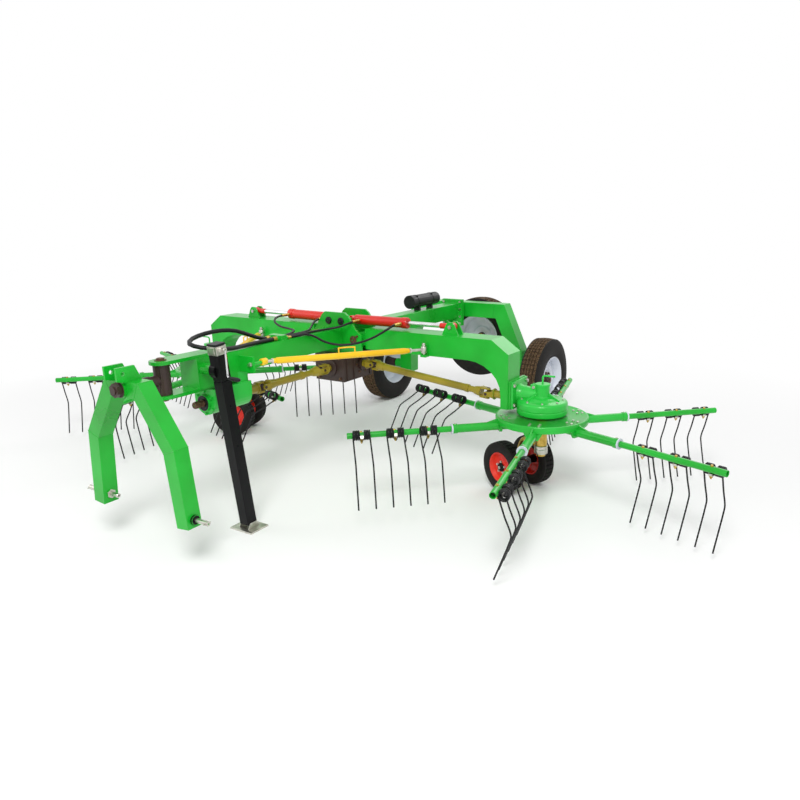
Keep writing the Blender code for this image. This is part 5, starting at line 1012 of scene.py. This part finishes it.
def front_gearbox():
    seal, stub, bolts = meshes(3)
    front = Vector((0, INPUT_Y, DRIVE_Z))
    ring(seal, 0.02, [(0.018, 0.052), (0.0225, 0.052), (0.0245, 0.046), (0.0245, 0.038), (0.022, 0.034)],
         front, -Y, 48)
    ring(stub, 0.005, [(0.015, 0.0255), (0.03, 0.0255), (0.032, 0.0226), (0.0905, 0.0226), (0.0925, 0.0205)],
         front, -Y)
    for k in range(6):
        turn = Matrix.Rotation(tau * k / 6, 3, "Y")
        block(stub, front - Y * 0.062 + turn @ Z * 0.0215, (0.006, 0.046, 0.006), turn.to_quaternion())
        bolt(bolts, front + turn @ Z * 0.078, -Y, 0.017, 0.008)
    make(seal, "input_seal", PLASTIC, "frame")
    make(stub, "input_stub", RUST, "frame")
    make(bolts, "gearbox_cover_bolts", CAST_GREEN, "frame")


def centre_gearbox():
    bolts, ribs = meshes(2)
    for x in (-0.11, 0.0, 0.11):
        for z in (0.79, 0.96):
            if x or z > 0.9:
                bolt(bolts, (x, -0.2405, z), -Y, 0.02, 0.01)
            bolt(bolts, (x, 0.1305, z), Y, 0.02, 0.01)
    for _, s in SIDES:
        for out in round_about(6, "X", 0.5):
            bolt(bolts, Vector((s * 0.1505, 0, INNER_JOINT[2])) + out * 0.076, X * s, 0.016, 0.008)
        for y in (-0.2, -0.11, 0.1):
            block(ribs, (s * 0.152, y, DRIVE_Z), (0.012, 0.012, 0.2))
    ring(ribs, 0.03, [(0, 0.075), (0.012, 0.075), (0.016, 0.068)], (0, -0.24, DRIVE_Z), -Y, 48)
    make(bolts, "centre_gearbox_bolts", RUST, "frame")
    make(ribs, "centre_gearbox_ribs", BROWN, "frame", edge=0.002)


def beam_fittings():
    """Flange bolts, bracket pins, canister straps and the spare wheel's fastening."""
    bolts, straps = meshes(2)
    for x in (-0.098, 0.098):
        for z in (0.985, 1.06, 1.135, 1.21):
            bolt(bolts, (x, 1.76, z), -Y)
            bolt(bolts, (x, 1.8005, z), Y)
    for _, s in SIDES:
        pin = Vector((s * HINGE_X, BRACE_FRONT_Y, HINGE_Z))
        bar(bolts, pin - Y * 0.1205, pin - Y * 0.1325, 0.0125)
        bolt(bolts, pin - Y * 0.122, -Y, 0.026, 0.012)
        bar(bolts, pin - Y * 0.025, pin + Y * 0.025, 0.0125)
        bolt(bolts, pin + Y * 0.025, Y, 0.022, 0.003)
    for x in (0.04, 0.22, 0.34, 0.58):
        bolt(bolts, (x, 2.0415, SPARE_WHEEL[2]), Y)
    make(bolts, "frame_bolts", ZINC, "frame")
    for y in (1.05, 1.31):
        ring(straps, 0.0598, [(-0.012, 0.0622), (0.012, 0.0622)], (0, y, 1.2853), Y, 56)
        block(straps, (0.035, y, 1.345), (0.016, 0.03, 0.003))
    make(straps, "canister_straps", SPRING, "frame")


set_camera()
lay_hoses()
set_world()
set_lamps()
lay_floor()
for material, edge, names in (
        (GREEN, 0.005, "front_beam rear_beam"), (GREEN, 0.003, "hinge_housing"),
        (GREEN, 0.004, "portal_crossbeam headstock portal_leg_left portal_leg_right"),
        (GREEN, 0.004, "lift_arm_left lift_arm_right"), (CAST_GREEN, 0.004, "front_gearbox"),
        (BROWN, 0.004, "centre_gearbox"), (BROWN, 0.002, "yaw_block"), (BLACK, 0.003, "jack_tube"),
        (ORANGE, 0.002, "spare_carrier"), (PLASTIC, 0.002, "document_canister")):
    for name in names.split():
        dress(name, material, edge)
for build in (road_wheels, castors, tine_arms, rotor_discs, rotor_gearboxes, side_shafts, front_shaft, braces,
              cylinders, housing_pins, hitch, jack, front_gearbox, centre_gearbox, beam_fittings):
    build()
